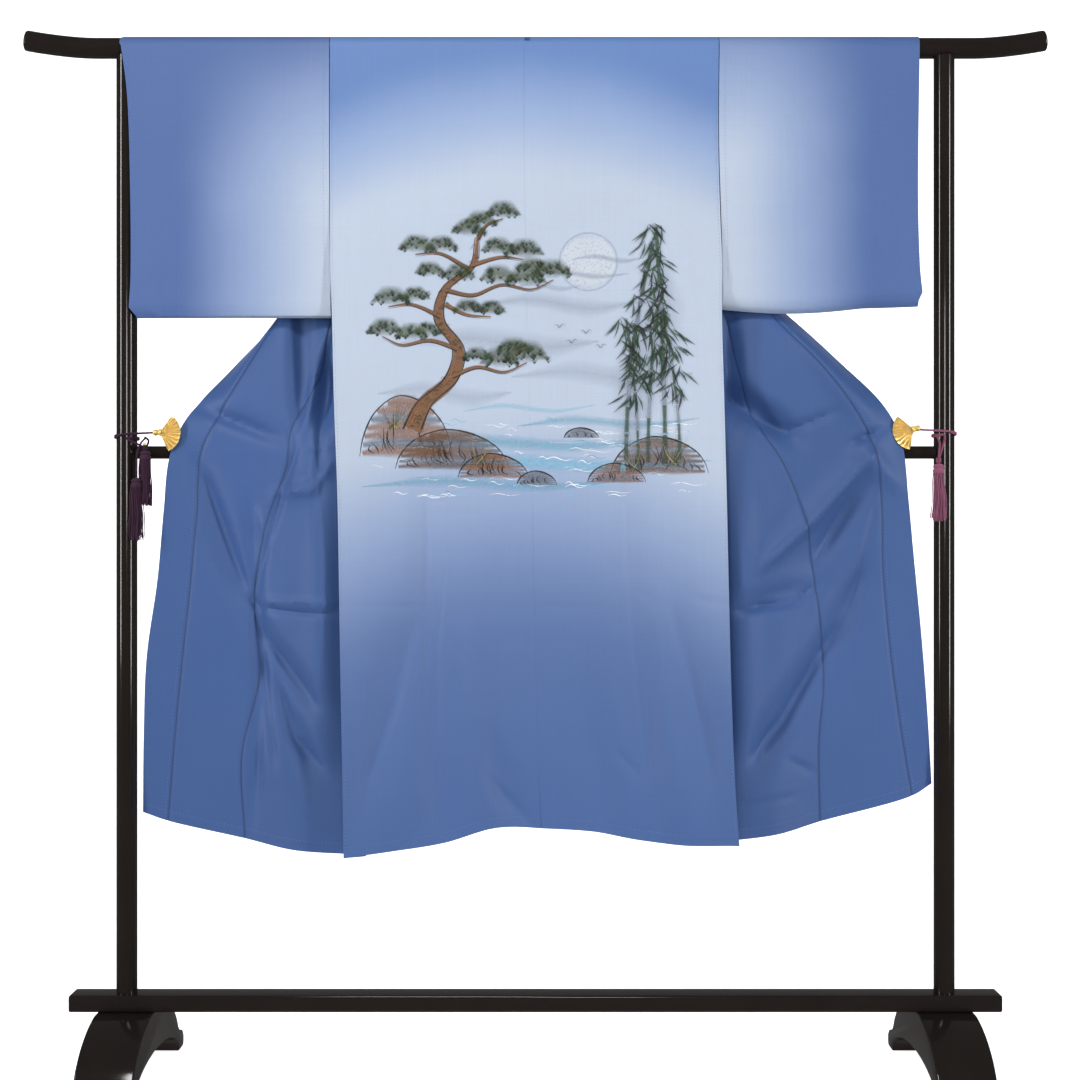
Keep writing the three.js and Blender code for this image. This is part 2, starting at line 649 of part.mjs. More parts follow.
// A clip: a ribbed fan in front of the cloth, a short jaw behind it, and the hinge that joins them.
function clip(name, place, turn, mirror) {
  const frontJaw = fanPlate(FAN_RADIUS, -66, 54, FAN_RIBS, 0.7).translate([0, -6, 0]);
  const rearJaw = fanPlate(FAN_RADIUS * 0.7, -20, 40, 3, 0).translate([0, 7, 0]);
  const hinge = solidOf(new THREE.CylinderGeometry(5.6, 5.6, 15.4, 16).translate(0, 0.5, 0));
  const knob = solidOf(new THREE.SphereGeometry(5.2, 12, 8).translate(-9, 0, 0));
  const neck = solidOf(new THREE.BoxGeometry(9, 5, 5).translate(-5, 0, 0));
  const solid = frontJaw.add(rearJaw).add(hinge).add(knob).add(neck);
  const geometry = geometryOf(solid).rotateY(-THREE.MathUtils.degToRad(turn));
  if (mirror) {
    geometry.scale(-1, 1, 1);
    facingOut(geometry);
  }
  addMesh(name, geometry.translate(...place), "gold");
}

// One lock of a tassel: a three-sided strand that hangs from the head and swells a little.
function lock(angle, ring, length, spread) {
  const rings = [0, 0.35, 0.75, 1];
  const grid = rings.map((t) => {
    const radius = ring * (1 + spread * Math.sin(t * 2.2));
    const width = LOCK_WIDTH * (0.6 + 0.5 * Math.sin(t * 2.4));
    const centre = new THREE.Vector3(radius * Math.cos(angle), radius * Math.sin(angle), -length * t);
    return [0, 1, 2].map((k) => {
      const turn = angle + (k / 3) * 2 * Math.PI;
      const outward = new THREE.Vector3(Math.cos(turn), Math.sin(turn), 0);
      return centre.clone().addScaledVector(outward, width / 2);
    });
  });
  const positions = grid.flat().flatMap((p) => [...p]);
  const faces = [];
  for (let r = 0; r < rings.length - 1; r++) {
    for (let k = 0; k < 3; k++) {
      const a = r * 3 + k;
      const b = r * 3 + ((k + 1) % 3);
      faces.push(a, b, b + 3, a, b + 3, a + 3);
    }
  }
  const end = (rings.length - 1) * 3;
  faces.push(0, 2, 1, end, end + 1, end + 2);
  const geometry = new THREE.BufferGeometry();
  geometry.setAttribute("position", new THREE.Float32BufferAttribute(positions, 3));
  geometry.setIndex(faces);
  return solidOf(facingOut(geometry));
}

// A tassel: a bound head with its locks fused into it, hanging down from the top of the head.
function tassel(name, place, length, radius, material) {
  const headHeight = 12;
  const profile = [
    [0, 0],
    [radius * 0.55, -1.5],
    [radius * 0.8, -5],
    [radius * 0.72, -8.5],
    [radius * 0.85, -11],
    [radius * 0.8, -headHeight - 3],
    [0, -headHeight - 3],
  ].map(([r, z]) => new THREE.Vector2(r, z));
  const head = new THREE.LatheGeometry(profile.reverse(), 14).rotateX(Math.PI / 2);
  let solid = solidOf(facingOut(mergeVertices(stripped(head), 1e-3)));
  const lockRings = [
    { count: 8, start: 0, ring: radius * 0.62, length, spread: 0.2 },
    { count: 3, start: 0.4, ring: radius * 0.2, length: length * 0.97, spread: 0.1 },
  ];
  for (const { count, start, ring, length: reach, spread } of lockRings) {
    for (let i = 0; i < count; i++) {
      const strand = lock(start + (i / count) * 2 * Math.PI, ring, reach, spread);
      solid = solid.add(strand.translate([0, 0, -headHeight]));
    }
  }
  addMesh(name, geometryOf(solid).translate(...place), material);
}

function stripped(geometry) {
  const plain = geometry.clone();
  for (const name of ["normal", "uv"]) plain.deleteAttribute(name);
  return plain;
}

// A clip's cord: from its knob, once round the post, and back to the knot over the tassel.
function clipCord(name, sign, start, knotPoint, material) {
  const ring = POST_RADIUS + CORD_RADIUS + 0.9;
  const points = [start.clone()];
  const turns = [262, 240, 215, 180, 145, 110, 75, 40, 5, -30, -55, -78];
  turns.forEach((degrees, i) => {
    const angle = THREE.MathUtils.degToRad(degrees);
    const fromPost = new THREE.Vector3(-sign * ring * Math.cos(angle), ring * Math.sin(angle), 0);
    const height = start.z - 3 - (6 * i) / (turns.length - 1);
    points.push(new THREE.Vector3(sign * POST_OUT, 0, height).add(fromPost));
  });
  points.push(knotPoint.clone());
  addMesh(name, tubeAlong(points, CORD_RADIUS, 8, 40), material);
}

topRail();
midRail();
bottomBeam();
for (const sign of [-1, 1]) {
  post(sign);
  foot(sign);
  garmentSide(sign);
  sleeve(sign);
}
collarNeck();
clip("clip_left", [-625, -16, 1088], 0, false);
clip("clip_right", [629, -16, 1093], -14, true);
tassel("tassel_left_short", [-649, -25, 1058], 80, 9, "plum");
tassel("tassel_left_long", [-667, -30, 1012], 92, 9, "plum");
tassel("tassel_right", [670, -28, 1036], 84, 10, "mauve");
clipCord("cord_left", -1, new THREE.Vector3(-641, -16, 1088), new THREE.Vector3(-649, -25, 1060), "plum");
clipCord("cord_right", 1, new THREE.Vector3(645, -16, 1093), new THREE.Vector3(670, -28, 1038), "mauve");

export default group;
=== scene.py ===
import math

import bpy
import numpy as np
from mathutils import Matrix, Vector


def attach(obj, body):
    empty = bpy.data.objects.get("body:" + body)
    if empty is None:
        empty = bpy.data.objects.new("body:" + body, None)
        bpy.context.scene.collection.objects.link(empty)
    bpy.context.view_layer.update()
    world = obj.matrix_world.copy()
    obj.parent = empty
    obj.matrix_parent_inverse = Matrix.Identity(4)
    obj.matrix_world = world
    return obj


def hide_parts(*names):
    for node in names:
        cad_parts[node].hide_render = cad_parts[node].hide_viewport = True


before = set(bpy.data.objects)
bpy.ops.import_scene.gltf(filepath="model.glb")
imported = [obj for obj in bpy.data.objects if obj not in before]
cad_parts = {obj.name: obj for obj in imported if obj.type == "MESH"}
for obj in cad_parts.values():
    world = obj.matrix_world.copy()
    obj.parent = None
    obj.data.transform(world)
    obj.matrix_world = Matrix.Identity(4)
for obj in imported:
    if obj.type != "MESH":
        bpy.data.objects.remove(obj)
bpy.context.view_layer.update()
scene = bpy.context.scene

# Lengths are in millimetres until a mesh is made. The floor is z = 0, and the garment's back faces -y.
stand = {
    "postOut": 686, "postRadius": 17.25, "railRadius": 17, "railHalf": 855, "railRise": 13, "bendOut": 740,
    "railZ": 1734.5, "midRadius": 10.75, "midZ": 1056, "beamHalf": 778, "beamDepth": 48, "beamHeight": 28,
    "beamTop": 150, "footOut": 683, "footWidth": 95, "footReach": 205, "footPad": 38, "footArch": 54,
    "footCrown": 174, "toeHeight": 44,
}
cloth = {
    "thickness": 0.8, "tuck": 1.2, "groove": 1.3, "seamGap": 0.2, "wrapRadius": 18.3, "seamClearance": 2.2,
    "rollClearance": 9, "neckHalf": 85, "collarWidth": 55, "lapStart": 0.25, "sleeveDrop": 470,
    "armholeDrop": 381, "offRail": 0.0135, "hollowEnd": 0.19, "closedFrom": 0.3, "backFold": 1.2,
    "frontFold": 1.35, "meanHang": 1335,
}
crestZ = stand["railZ"] + cloth["wrapRadius"]


def table(columns, rows):
    values = np.array(rows, float)
    return {name: values[:, i] for i, name in enumerate(columns.split())}


def lerp(a, b, t):
    return a + (b - a) * t


def smoothstep(x, low, high):
    t = np.clip((np.asarray(x, float) - low) / (high - low), 0, 1)
    return t * t * (3 - 2 * t)


# Value of a column at a share between the table's rows, as a smooth curve through them.
def along(rows, key, at, by="share"):
    xs, ys = rows[by], rows[key]
    last = len(xs) - 1
    at = np.asarray(at, float)
    i = np.clip(np.searchsorted(xs, at, side="left") - 1, 0, last - 1)
    span = xs[i + 1] - xs[i]
    t = np.clip((at - xs[i]) / span, 0, 1)

    def slope(k):
        low, high = np.maximum(k - 1, 0), np.minimum(k + 1, last)
        return (ys[high] - ys[low]) / (xs[high] - xs[low])

    rise = 3 * t**2 - 2 * t**3
    leaving, arriving = t**3 - 2 * t**2 + t, t**3 - t**2
    return lerp(ys[i], ys[i + 1], rise) + span * (leaving * slope(i) + arriving * slope(i + 1))


# A socket in a shader that takes part in sums.
class Value:
    def __init__(self, tree, socket):
        self.tree, self.socket = tree, socket

    def math(self, operation, *others, swap=False):
        inputs = [self, *others]
        if swap:
            inputs.reverse()
        return self.tree.node("ShaderNodeMath", {"operation": operation}, dict(enumerate(inputs)))

    __add__ = __radd__ = lambda self, other: self.math("ADD", other)
    __mul__ = __rmul__ = lambda self, other: self.math("MULTIPLY", other)
    __sub__ = lambda self, other: self.math("SUBTRACT", other)
    __rsub__ = lambda self, other: self.math("SUBTRACT", other, swap=True)
    __truediv__ = lambda self, other: self.math("DIVIDE", other)
    __pow__ = lambda self, other: self.math("POWER", other)

    def step(self, low, high):
        settings = {"interpolation_type": "SMOOTHSTEP"}
        inputs = {"Value": self, "From Min": low, "From Max": high, "To Min": 0.0, "To Max": 1.0}
        return self.tree.node("ShaderNodeMapRange", settings, inputs, "Result")


class Shader:
    def __init__(self, name):
        self.material = bpy.data.materials.new(name)
        self.material.use_nodes = True
        self.tree = self.material.node_tree
        self.tree.nodes.clear()

    def node(self, kind, settings=None, inputs=None, output=0):
        made = self.tree.nodes.new(kind)
        for key, value in (settings or {}).items():
            setattr(made, key, value)
        for key, value in (inputs or {}).items():
            if isinstance(value, Value):
                self.tree.links.new(value.socket, made.inputs[key])
            else:
                made.inputs[key].default_value = value
        return Value(self, made.outputs[output]) if len(made.outputs) else None

    def place(self):
        spot = self.node("ShaderNodeTexCoord", output="Object")
        parts = self.node("ShaderNodeSeparateXYZ", inputs={0: spot})
        node = parts.socket.node
        return spot, *(Value(self, node.outputs[i]) for i in range(3))

    def noise(self, spot, scale, detail=3.0, stretch=(1, 1, 1)):
        moved = self.node("ShaderNodeVectorMath", {"operation": "MULTIPLY"}, {0: spot, 1: stretch})
        return self.node("ShaderNodeTexNoise", inputs={"Vector": moved, "Scale": scale, "Detail": detail})

    def mix(self, factor, a, b):
        inputs = {"Factor": factor, 6: a, 7: b}
        return self.node("ShaderNodeMix", {"data_type": "RGBA"}, inputs, 2)

    def tint(self, colour, factor):
        colour = colour if isinstance(colour, Value) else colour[:3]
        return self.node("ShaderNodeVectorMath", {"operation": "SCALE"}, {0: colour, "Scale": factor})

    def bump(self, height, distance, strength=1.0, normal=None):
        inputs = {"Height": height, "Distance": distance, "Strength": strength}
        if normal:
            inputs["Normal"] = normal
        return self.node("ShaderNodeBump", inputs=inputs)

    def finish(self, inputs):
        surface = self.node("ShaderNodeBsdfPrincipled", inputs=inputs)
        self.node("ShaderNodeOutputMaterial", inputs={"Surface": surface})
        return self.material


def linear(*rgb):
    return tuple(((c / 255 + 0.055) / 1.055) ** 2.4 if c > 10 else c / 255 / 12.92 for c in rgb) + (1,)



dye = {
    "cuffBlue": linear(75, 101, 154), "backBlue": linear(94, 126, 180), "pale": linear(180, 192, 210),
    "between": linear(134, 163, 212), "lowBlue": linear(69, 98, 152), "frontBlue": linear(61, 91, 146),
}


# Plain-weave silk: a dye colour from the chooser, slubs along both threads, painted shade along the seams, a
# fine weave and a soft sheen.
def silk(name, chooser):
    shader = Shader(name)
    spot, x, y, z = shader.place()
    colour = chooser(shader, spot, x, y, z)
    warp = shader.noise(spot, 1.0, 3.0, (420, 60, 5)) - 0.5
    weft = shader.noise(spot, 1.0, 3.0, (4, 4, 360)) - 0.5
    cloud = shader.noise(spot, 5.0, 2.0) - 0.5
    # The seam attribute darkens the dye along the front's seams: painted shade standing in for the shadow in
    # their grooves.
    seam = shader.node("ShaderNodeAttribute", {"attribute_name": "seam"}, output="Fac")
    colour = shader.tint(colour, (1.0 + warp * 0.06 + weft * 0.05 + cloud * 0.06) * (1 - seam * 0.42))
    thread = 2 * math.pi / 0.0009
    weave = (x * thread).math("SINE") * (z * thread).math("SINE")
    rough = 0.5 + cloud * 0.12 + weft * 0.1
    small = shader.bump(weave, 0.00006, 0.35)
    normal = shader.bump(warp + weft, 0.0009, 0.25, small)
    wrinkles = shader.noise(spot, 9.0, 4.0, (1.0, 1.0, 0.35))
    normal = shader.bump(wrinkles, 0.004, 0.22, normal)
    return shader.finish({
        "Base Color": colour, "Roughness": rough, "Normal": normal, "Specular IOR Level": 0.35,
        "Sheen Weight": 0.22, "Sheen Roughness": 0.35, "Sheen Tint": (0.75, 0.82, 1, 1),
    })


# Dye fades from a blue to the pale ground through a clearer blue.
def faded(shader, share, blue):
    colour = shader.mix(share, blue, dye["pale"])
    return shader.mix(share * (1 - share) * 1.1, colour, dye["between"])


# Blue at the shoulders and the hem, pale between. Both edges of the dye arch upwards at the centre seam.
def backDye(shader, spot, x, y, z):
    drift = (shader.noise(spot, 6.0, 2.0) - 0.5) * 0.02
    across = ((x + 0.02) / 0.33) ** 2
    high = (z + drift + across * 0.085).step(1.505, 1.74)
    main = (z + drift + across * 0.1).step(0.58, 1.143) ** 2.75
    low = main + (z + drift).step(0.35, 0.85) * (1 - main) * 0.045
    colour = faded(shader, low, dye["lowBlue"])
    return shader.mix(high * (1 - high) * 1.1, shader.mix(high, colour, dye["backBlue"]), dye["between"])


# Deep blue at the cuff and the shoulder, pale beside the body.
def sleeveDye(shader, spot, x, y, z):
    drift = (shader.noise(spot, 6.0, 2.0) - 0.5) * 0.03
    out = x.math("ABSOLUTE") + x * 0.03
    beside = 1 - (out + drift).step(0.33, 0.585)
    below = 1 - (z - x * 0.09 + drift * 0.6).step(1.49, 1.82)
    return faded(shader, beside * below, dye["cuffBlue"])


def plainDye(shader, spot, x, y, z):
    patch = shader.noise(spot, 2.5, 2.0)
    return shader.mix(patch.step(0.3, 0.7), dye["frontBlue"], linear(57, 86, 138))


def lacquer():
    shader = Shader("lacquerFinish")
    spot = shader.place()[0]
    smear = shader.noise(spot, 14.0, 4.0)
    dust = shader.noise(spot, 900.0, 2.0)
    colour = shader.mix(smear, linear(24, 20, 18), linear(33, 27, 24))
    normal = shader.bump(dust, 0.000004, 0.15)
    return shader.finish({
        "Base Color": colour, "Roughness": 0.08 + smear * 0.06, "Normal": normal, "Specular IOR Level": 0.4,
    })


def plain(name, colour, rough, metal=0.0, grain=600.0, depth=0.0001, sheen=0.0):
    shader = Shader(name)
    spot = shader.place()[0]
    speck = shader.noise(spot, grain, 3.0)
    tone = shader.tint(colour, 0.82 + speck * 0.36)
    return shader.finish({
        "Base Color": tone, "Roughness": rough + (speck - 0.5) * 0.15, "Metallic": metal,
        "Normal": shader.bump(speck, depth, 0.4), "Sheen Weight": sheen,
    })


finishes = {
    "silkBack": silk("silkBack", backDye), "silkSleeve": silk("silkSleeve", sleeveDye),
    "silkFront": silk("silkFront", plainDye), "lacquer": lacquer(),
    "gold": plain("fanGold", linear(250, 214, 128), 0.32, 0.55, 500.0, 0.0002),
    "plum": plain("plumThread", linear(52, 9, 46), 0.75, sheen=0.05),
    "mauve": plain("mauveThread", linear(142, 78, 108), 0.75, sheen=0.1),
    "blueThread": plain("blueThread", linear(110, 134, 184), 0.6),
}
print("finishes made:", len(finishes))


# The sign says whether a closed mesh's faces point outwards.
def volumeSign(points, faces):
    tris = np.concatenate([faces[:, [0, i, i + 1]] for i in range(1, faces.shape[1] - 1)])
    a, b, c = (points[tris[:, i]] for i in range(3))
    return np.sign(np.einsum("ij,ij->i", a, np.cross(b, c)).sum())


# Makes a closed mesh from millimetre points and equal-sided faces, turned to face outwards.
def solidMesh(name, points, faces, finish, sharp=40):
    points, faces = np.asarray(points, float), np.asarray(faces)
    if volumeSign(points, faces) < 0:
        faces = faces[:, ::-1]
    return meshObject(name, points, faces.tolist(), finish, sharp)


def meshObject(name, points, faces, finish, sharp=40):
    mesh = bpy.data.meshes.new(name)
    mesh.from_pydata((np.asarray(points) * 0.001).tolist(), [], faces)
    mesh.shade_smooth()
    mesh.set_sharp_from_angle(angle=math.radians(sharp))
    mesh.materials.append(finishes[finish])
    made = bpy.data.objects.new(name, mesh)
    scene.collection.objects.link(made)
    return made


def gridFaces(rows, cols, looped=False):
    ids = np.arange(rows * cols).reshape(rows, cols)
    if looped:
        ids = np.concatenate([ids, ids[:, :1]], 1)
    return np.stack([ids[:-1, :-1], ids[:-1, 1:], ids[1:, 1:], ids[1:, :-1]], -1).reshape(-1, 4), ids


# Closed wall around a grid of middle points. A looped grid joins its last column to its first.
def wall(name, grid, finish, thickness=cloth["thickness"], looped=False, seamShade=None):
    rows, cols, _ = grid.shape
    down = np.gradient(grid, axis=0)
    across = np.roll(grid, -1, 1) - np.roll(grid, 1, 1) if looped else np.gradient(grid, axis=1)
    normal = np.cross(across, down)
    normal /= np.linalg.norm(normal, axis=2, keepdims=True) + 1e-9
    half = normal * thickness / 2
    points = np.concatenate([(grid + half).reshape(-1, 3), (grid - half).reshape(-1, 3)])
    top, ids = gridFaces(rows, cols, looped)
    count = rows * cols
    faces = [top, top[:, ::-1] + count]
    rims = [ids[0], ids[-1][::-1]] + ([] if looped else [ids[:, 0][::-1], ids[:, -1]])
    for rim in rims:
        a, b = rim[:-1], rim[1:]
        faces.append(np.stack([b, a, a + count, b + count], -1))
    made = solidMesh(name, points, np.concatenate(faces), finish)
    # Values given for the seams are stored as the seam attribute, which darkens the silk there as painted
    # shade.
    if seamShade is not None:
        layer = made.data.attributes.new("seam", "FLOAT", "POINT")
        layer.data.foreach_set("value", np.tile(seamShade.ravel(), 2).astype(np.float32))
    return made


# Rings of points, with the middles of both ends last, made a closed tube that faces outwards.
def capped(name, points, count, sides, finish, sharp):
    faces, ids = gridFaces(count, sides, True)
    start, stop = len(points) - 2, len(points) - 1
    caps = [(start, ids[0][i + 1], ids[0][i]) for i in range(sides)]
    caps += [(stop, ids[-1][i], ids[-1][i + 1]) for i in range(sides)]
    if volumeSign(points, faces) < 0:
        faces, caps = faces[:, ::-1], [cap[::-1] for cap in caps]
    return meshObject(name, points, faces.tolist() + np.array(caps).tolist(), finish, sharp)


# A tube along a path, with a cap at each end.
def tube(name, path, radius, finish, sides=16, sharp=50):
    path = np.asarray(path, float)
    radii = np.broadcast_to(radius, len(path))
    tangent = np.gradient(path, axis=0)
    tangent /= np.linalg.norm(tangent, axis=1, keepdims=True)
    up = np.array([0, 0, 1.0]) if abs(tangent[0][2]) < 0.9 else np.array([0, 1.0, 0])
    rings = []
    for spot, direction, r in zip(path, tangent, radii):
        side = np.cross(direction, up)
        side /= np.linalg.norm(side)
        up = np.cross(side, direction)
        turn = np.arange(sides) / sides * 2 * math.pi
        rings.append(spot + r * (np.outer(np.cos(turn), side) + np.outer(np.sin(turn), up)))
    return capped(name, np.concatenate([*rings, path[:1], path[-1:]]), len(path), sides, finish, sharp)


# A flat outline given as (y, z), made solid along x between two places, its edges rounded by a bevel.
def extruded(name, outline, low, high, finish, round=3.0, segments=4):
    count = len(outline)
    points = [(low, y, z) for y, z in outline] + [(high, y, z) for y, z in outline]
    faces = [list(range(count)), list(range(2 * count - 1, count - 1, -1))]
    faces += [[i, count + i, count + (i + 1) % count, (i + 1) % count] for i in range(count)]
    made = meshObject(name, points, faces, finish, 180)
    bevel = made.modifiers.new("rounded", "BEVEL")
    bevel.width, bevel.segments = round * 0.001, segments
    bevel.limit_method, bevel.angle_limit = "ANGLE", math.radians(35)
    bevel.harden_normals = False
    return settled(made)


# Turns an object with modifiers into a plain mesh without them.
def converted(made):
    bpy.context.view_layer.update()
    depsgraph = bpy.context.evaluated_depsgraph_get()
    mesh = bpy.data.meshes.new_from_object(made.evaluated_get(depsgraph))
    made.modifiers.clear()
    made.data = mesh
    return mesh


# Converts a piece and makes its faces point outwards.
def settled(made, sharp=42):
    mesh = converted(made)
    mesh.calc_loop_triangles()
    tris = np.array([t.vertices for t in mesh.loop_triangles])
    if volumeSign(np.array([v.co for v in mesh.vertices]), tris) < 0:
        mesh.flip_normals()
    mesh.shade_smooth()
    mesh.set_sharp_from_angle(angle=math.radians(sharp))
    return made


def joined(name, parts):
    target = parts[0]
    with bpy.context.temp_override(active_object=target, selected_editable_objects=parts):
        bpy.ops.object.join()
    target.name = target.data.name = name
    return target


def place(piece, slot, *nodes):
    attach(piece, "root")
    if nodes:
        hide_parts(*nodes)
    return piece


# The garment's lines: "out" is from the stand's middle, "depth" is y, and share runs from crest to hem.
sideLine = {
    "left": table("share out depth", [
        [0.0135, 343, -18.3], [0.13, 343, -20], [0.23, 342, -24], [0.28, 341, -30], [0.35, 337, -38],
        [0.45, 332, -52], [0.57, 325, -62], [0.7, 321, -70], [0.82, 317, -80], [0.93, 313, -90],
        [1, 311, -95],
    ]),
    "right": table("share out depth", [
        [0.0135, 306, -18.3], [0.13, 305, -20], [0.23, 308, -24], [0.28, 310, -30], [0.35, 309, -38],
        [0.45, 311, -52], [0.57, 314, -62], [0.7, 317, -70], [0.82, 320, -80], [0.93, 325, -90],
        [1, 331, -95],
    ]),
}
backCentre = table("share depth", [
    [0.0135, -18.3], [0.14, -19.5], [0.3, -21], [0.5, -27], [0.7, -32], [1, -36],
])
backHang = table("place left right", [
    [0, 1322, 1322], [0.25, 1321, 1326], [0.5, 1343, 1338], [0.75, 1353, 1344], [1, 1361, 1341],
])
frontColumns = "share bellyOut bellyDepth lapOut lapDepth collarOut collarDepth edgeOut edgeDepth"
frontLine = {
    "left": table(frontColumns, [
        [0.0135, 159, 18.3, 107, 18.3, 103, 18.3, 48, 24],
        [0.07, 148, 45, 165, 45, 167, 47, 82, 62],
        [0.14, 186, 46, 230, 46, 232, 49, 168, 77],
        [0.21, 226, 42, 294, 41, 296, 44, 254, 81],
        [0.28, 250, 26, 320, 27, 361, 29, 341, 76],
        [0.36, 285, 2, 345, 5, 434, 8, 440, 58],
        [0.43, 318, -20, 364, -14, 490, -8, 520, 28],
        [0.49, 350, -34, 405, -27, 533, -20, 582, -8],
        [0.54, 368, -40, 414, -31, 561, -21, 610, -17],
        [0.61, 376, -42, 447, -29, 565, -21, 620, -18],
        [0.7, 380, -44, 469, -27, 576, -16, 632, -12],
        [0.8, 384, -46, 461, -25, 591, -12, 651, -8],
        [0.9, 388, -48, 489, -23, 605, -5, 657, -3],
        [1, 395, -50, 484, -20, 617, 0, 660, 4],
    ]),
    "right": table(frontColumns, [
        [0.0135, 122, 18.3, 71, 18.3, 67, 18.3, 12, 24],
        [0.07, 112, 45, 128, 45, 130, 47, 46, 62],
        [0.14, 150, 46, 192, 46, 194, 49, 136, 77],
        [0.21, 190, 42, 255, 41, 257, 44, 228, 81],
        [0.28, 222, 26, 285, 27, 321, 29, 319, 76],
        [0.36, 268, 2, 322, 5, 393, 8, 423, 58],
        [0.43, 306, -20, 342, -14, 473, -8, 509, 28],
        [0.49, 332, -34, 366, -27, 529, -20, 578, -8],
        [0.54, 350, -40, 407, -31, 562, -21, 610, -17],
        [0.61, 362, -42, 445, -29, 576, -21, 621, -18],
        [0.7, 370, -44, 465, -27, 580, -16, 633, -12],
        [0.8, 377, -46, 481, -25, 592, -12, 646, -8],
        [0.9, 384, -48, 472, -23, 610, -5, 657, -3],
        [1, 398, -50, 474, -20, 632, 0, 666, 4],
    ]),
}
frontHang = {
    "left": {"edge": 1301, "collar": 1315, "lap": 1341, "belly": 1356},
    "right": {"edge": 1253, "collar": 1273, "lap": 1313, "belly": 1330},
}

# Folds and creases: a soft trough (deep above 0) or ridge (below 0) from one point to another. The first
# rows are the large folds of the solid, and the rest are the finer creases seen in the picture.
foldColumns = "out drop toOut toDrop width deep"
folds = {
    "back_left": table(foldColumns, [
        [178, 760, 166, 1300, 24, 7], [205, 960, 280, 1270, 30, 9], [70, 1190, 20, 1320, 26, 7],
        [110, 1000, 96, 1330, 30, -6],
        [180, 778, 180, 1055, 5, 2], [150, 778, 150, 894, 5, 1.5], [150, 894, 164, 1024, 5, 1.8],
        [164, 1024, 164, 1310, 6, 2], [202, 985, 229, 1108, 10, 3], [229, 1108, 280, 1251, 10, 3],
        [72, 1245, 14, 1310, 9, 4], [317, 950, 175, 956, 4, 0.9], [175, 956, 20, 954, 4, 0.6],
        [308, 686, 20, 682, 5, 0.6], [51, 828, 51, 944, 8, 0.8],
    ]),
    "back_right": table(foldColumns, [
        [144, 740, 188, 1250, 24, 7], [226, 940, 290, 1260, 30, 9], [90, 1130, 116, 1330, 28, 6],
        [232, 1180, 240, 1345, 26, -5],
        [145, 759, 155, 908, 5, 1.8], [155, 908, 168, 1058, 5, 2], [168, 1058, 187, 1233, 6, 2],
        [194, 1005, 194, 1201, 5, 1.5], [227, 960, 278, 1161, 10, 3], [278, 1161, 292, 1239, 9, 2.5],
        [136, 1194, 171, 1233, 7, 2.5], [170, 930, 194, 943, 4, 1.6], [259, 940, 318, 950, 4, 2],
        [10, 954, 150, 956, 4, 0.6], [10, 682, 290, 680, 5, 0.6],
    ]),
    "front_left": table(foldColumns, [
        [560, 730, 484, 950, 24, 12], [350, 540, 347, 640, 18, 24], [348, 810, 342, 1180, 28, -12],
        [396, 430, 388, 650, 17, 12], [474, 800, 456, 1050, 13, 6], [456, 1050, 466, 1290, 13, 5],
        [448, 1000, 360, 1130, 20, 11], [430, 1085, 347, 1260, 22, 11], [424, 775, 345, 725, 20, -6],
        [560, 620, 428, 676, 16, 6], [556, 732, 480, 938, 9, 6], [480, 938, 458, 958, 6, 4],
        [349, 488, 389, 676, 9, -6], [357, 611, 357, 769, 9, 6], [424, 764, 371, 764, 7, -4],
        [371, 764, 342, 724, 7, -4], [555, 625, 467, 659, 9, 3.5], [467, 659, 427, 678, 9, 2.5],
        [384, 691, 344, 691, 4, -2], [454, 958, 366, 966, 5, 4], [366, 966, 318, 965, 5, 4],
        [454, 945, 319, 950, 6, -3], [445, 1011, 362, 1116, 8, 5], [428, 1085, 401, 1172, 8, 5],
        [401, 1172, 349, 1225, 8, 5], [454, 1041, 432, 1212, 7, 4], [462, 1190, 462, 1233, 5, 2],
        [639, 1065, 589, 1065, 4, 0.8], [397, 692, 432, 806, 7, 5], [432, 806, 464, 928, 6, 3],
        [455, 800, 442, 850, 8, -3], [460, 960, 457, 1085, 9, 3],
    ]),
    "front_right": table(foldColumns, [
        [314, 590, 422, 668, 22, 20], [330, 780, 338, 1240, 28, -13], [322, 480, 330, 640, 18, 18],
        [440, 480, 556, 640, 28, -13], [540, 690, 600, 750, 20, -8], [555, 705, 378, 885, 26, -10],
        [540, 750, 465, 880, 20, 8], [543, 901, 476, 1040, 22, 9], [472, 1040, 350, 1220, 28, 13],
        [318, 960, 460, 920, 16, 6], [316, 597, 361, 641, 9, 7], [361, 641, 422, 662, 9, 6],
        [326, 614, 386, 671, 9, -5], [422, 662, 492, 633, 7, 5], [522, 684, 579, 659, 6, 5],
        [556, 706, 457, 815, 9, -6], [457, 815, 377, 886, 9, -6], [535, 764, 470, 868, 11, 5],
        [544, 903, 517, 984, 11, 5], [517, 984, 480, 1029, 11, 5], [472, 1042, 413, 1141, 11, 7],
        [413, 1141, 359, 1204, 11, 7], [566, 794, 535, 921, 5, 2.5], [318, 963, 372, 954, 6, 5],
        [372, 954, 424, 949, 6, 5], [424, 949, 460, 923, 5, 4], [331, 1285, 430, 1268, 5, 2],
        [422, 1211, 458, 1227, 6, 3],
    ]),
}


def foldDepth(rows, out, drop):
    depth = 0.0
    for i in range(len(rows["out"])):
        fromOut, fromDrop, toOut, toDrop, width, deep = (rows[k][i] for k in foldColumns.split())
        length = math.hypot(toOut - fromOut, toDrop - fromDrop)
        ux, uy = (toOut - fromOut) / length, (toDrop - fromDrop) / length
        run = (out - fromOut) * ux + (drop - fromDrop) * uy
        off = (out - fromOut) * uy - (drop - fromDrop) * ux
        fade = min(0.42 * length, 4 * width)
        begun = smoothstep(run, -fade, fade)
        ended = smoothstep(run, length - fade, length + fade)
        depth = depth + deep * begun * (1 - ended) * np.exp(-((off / width) ** 2))
    return depth


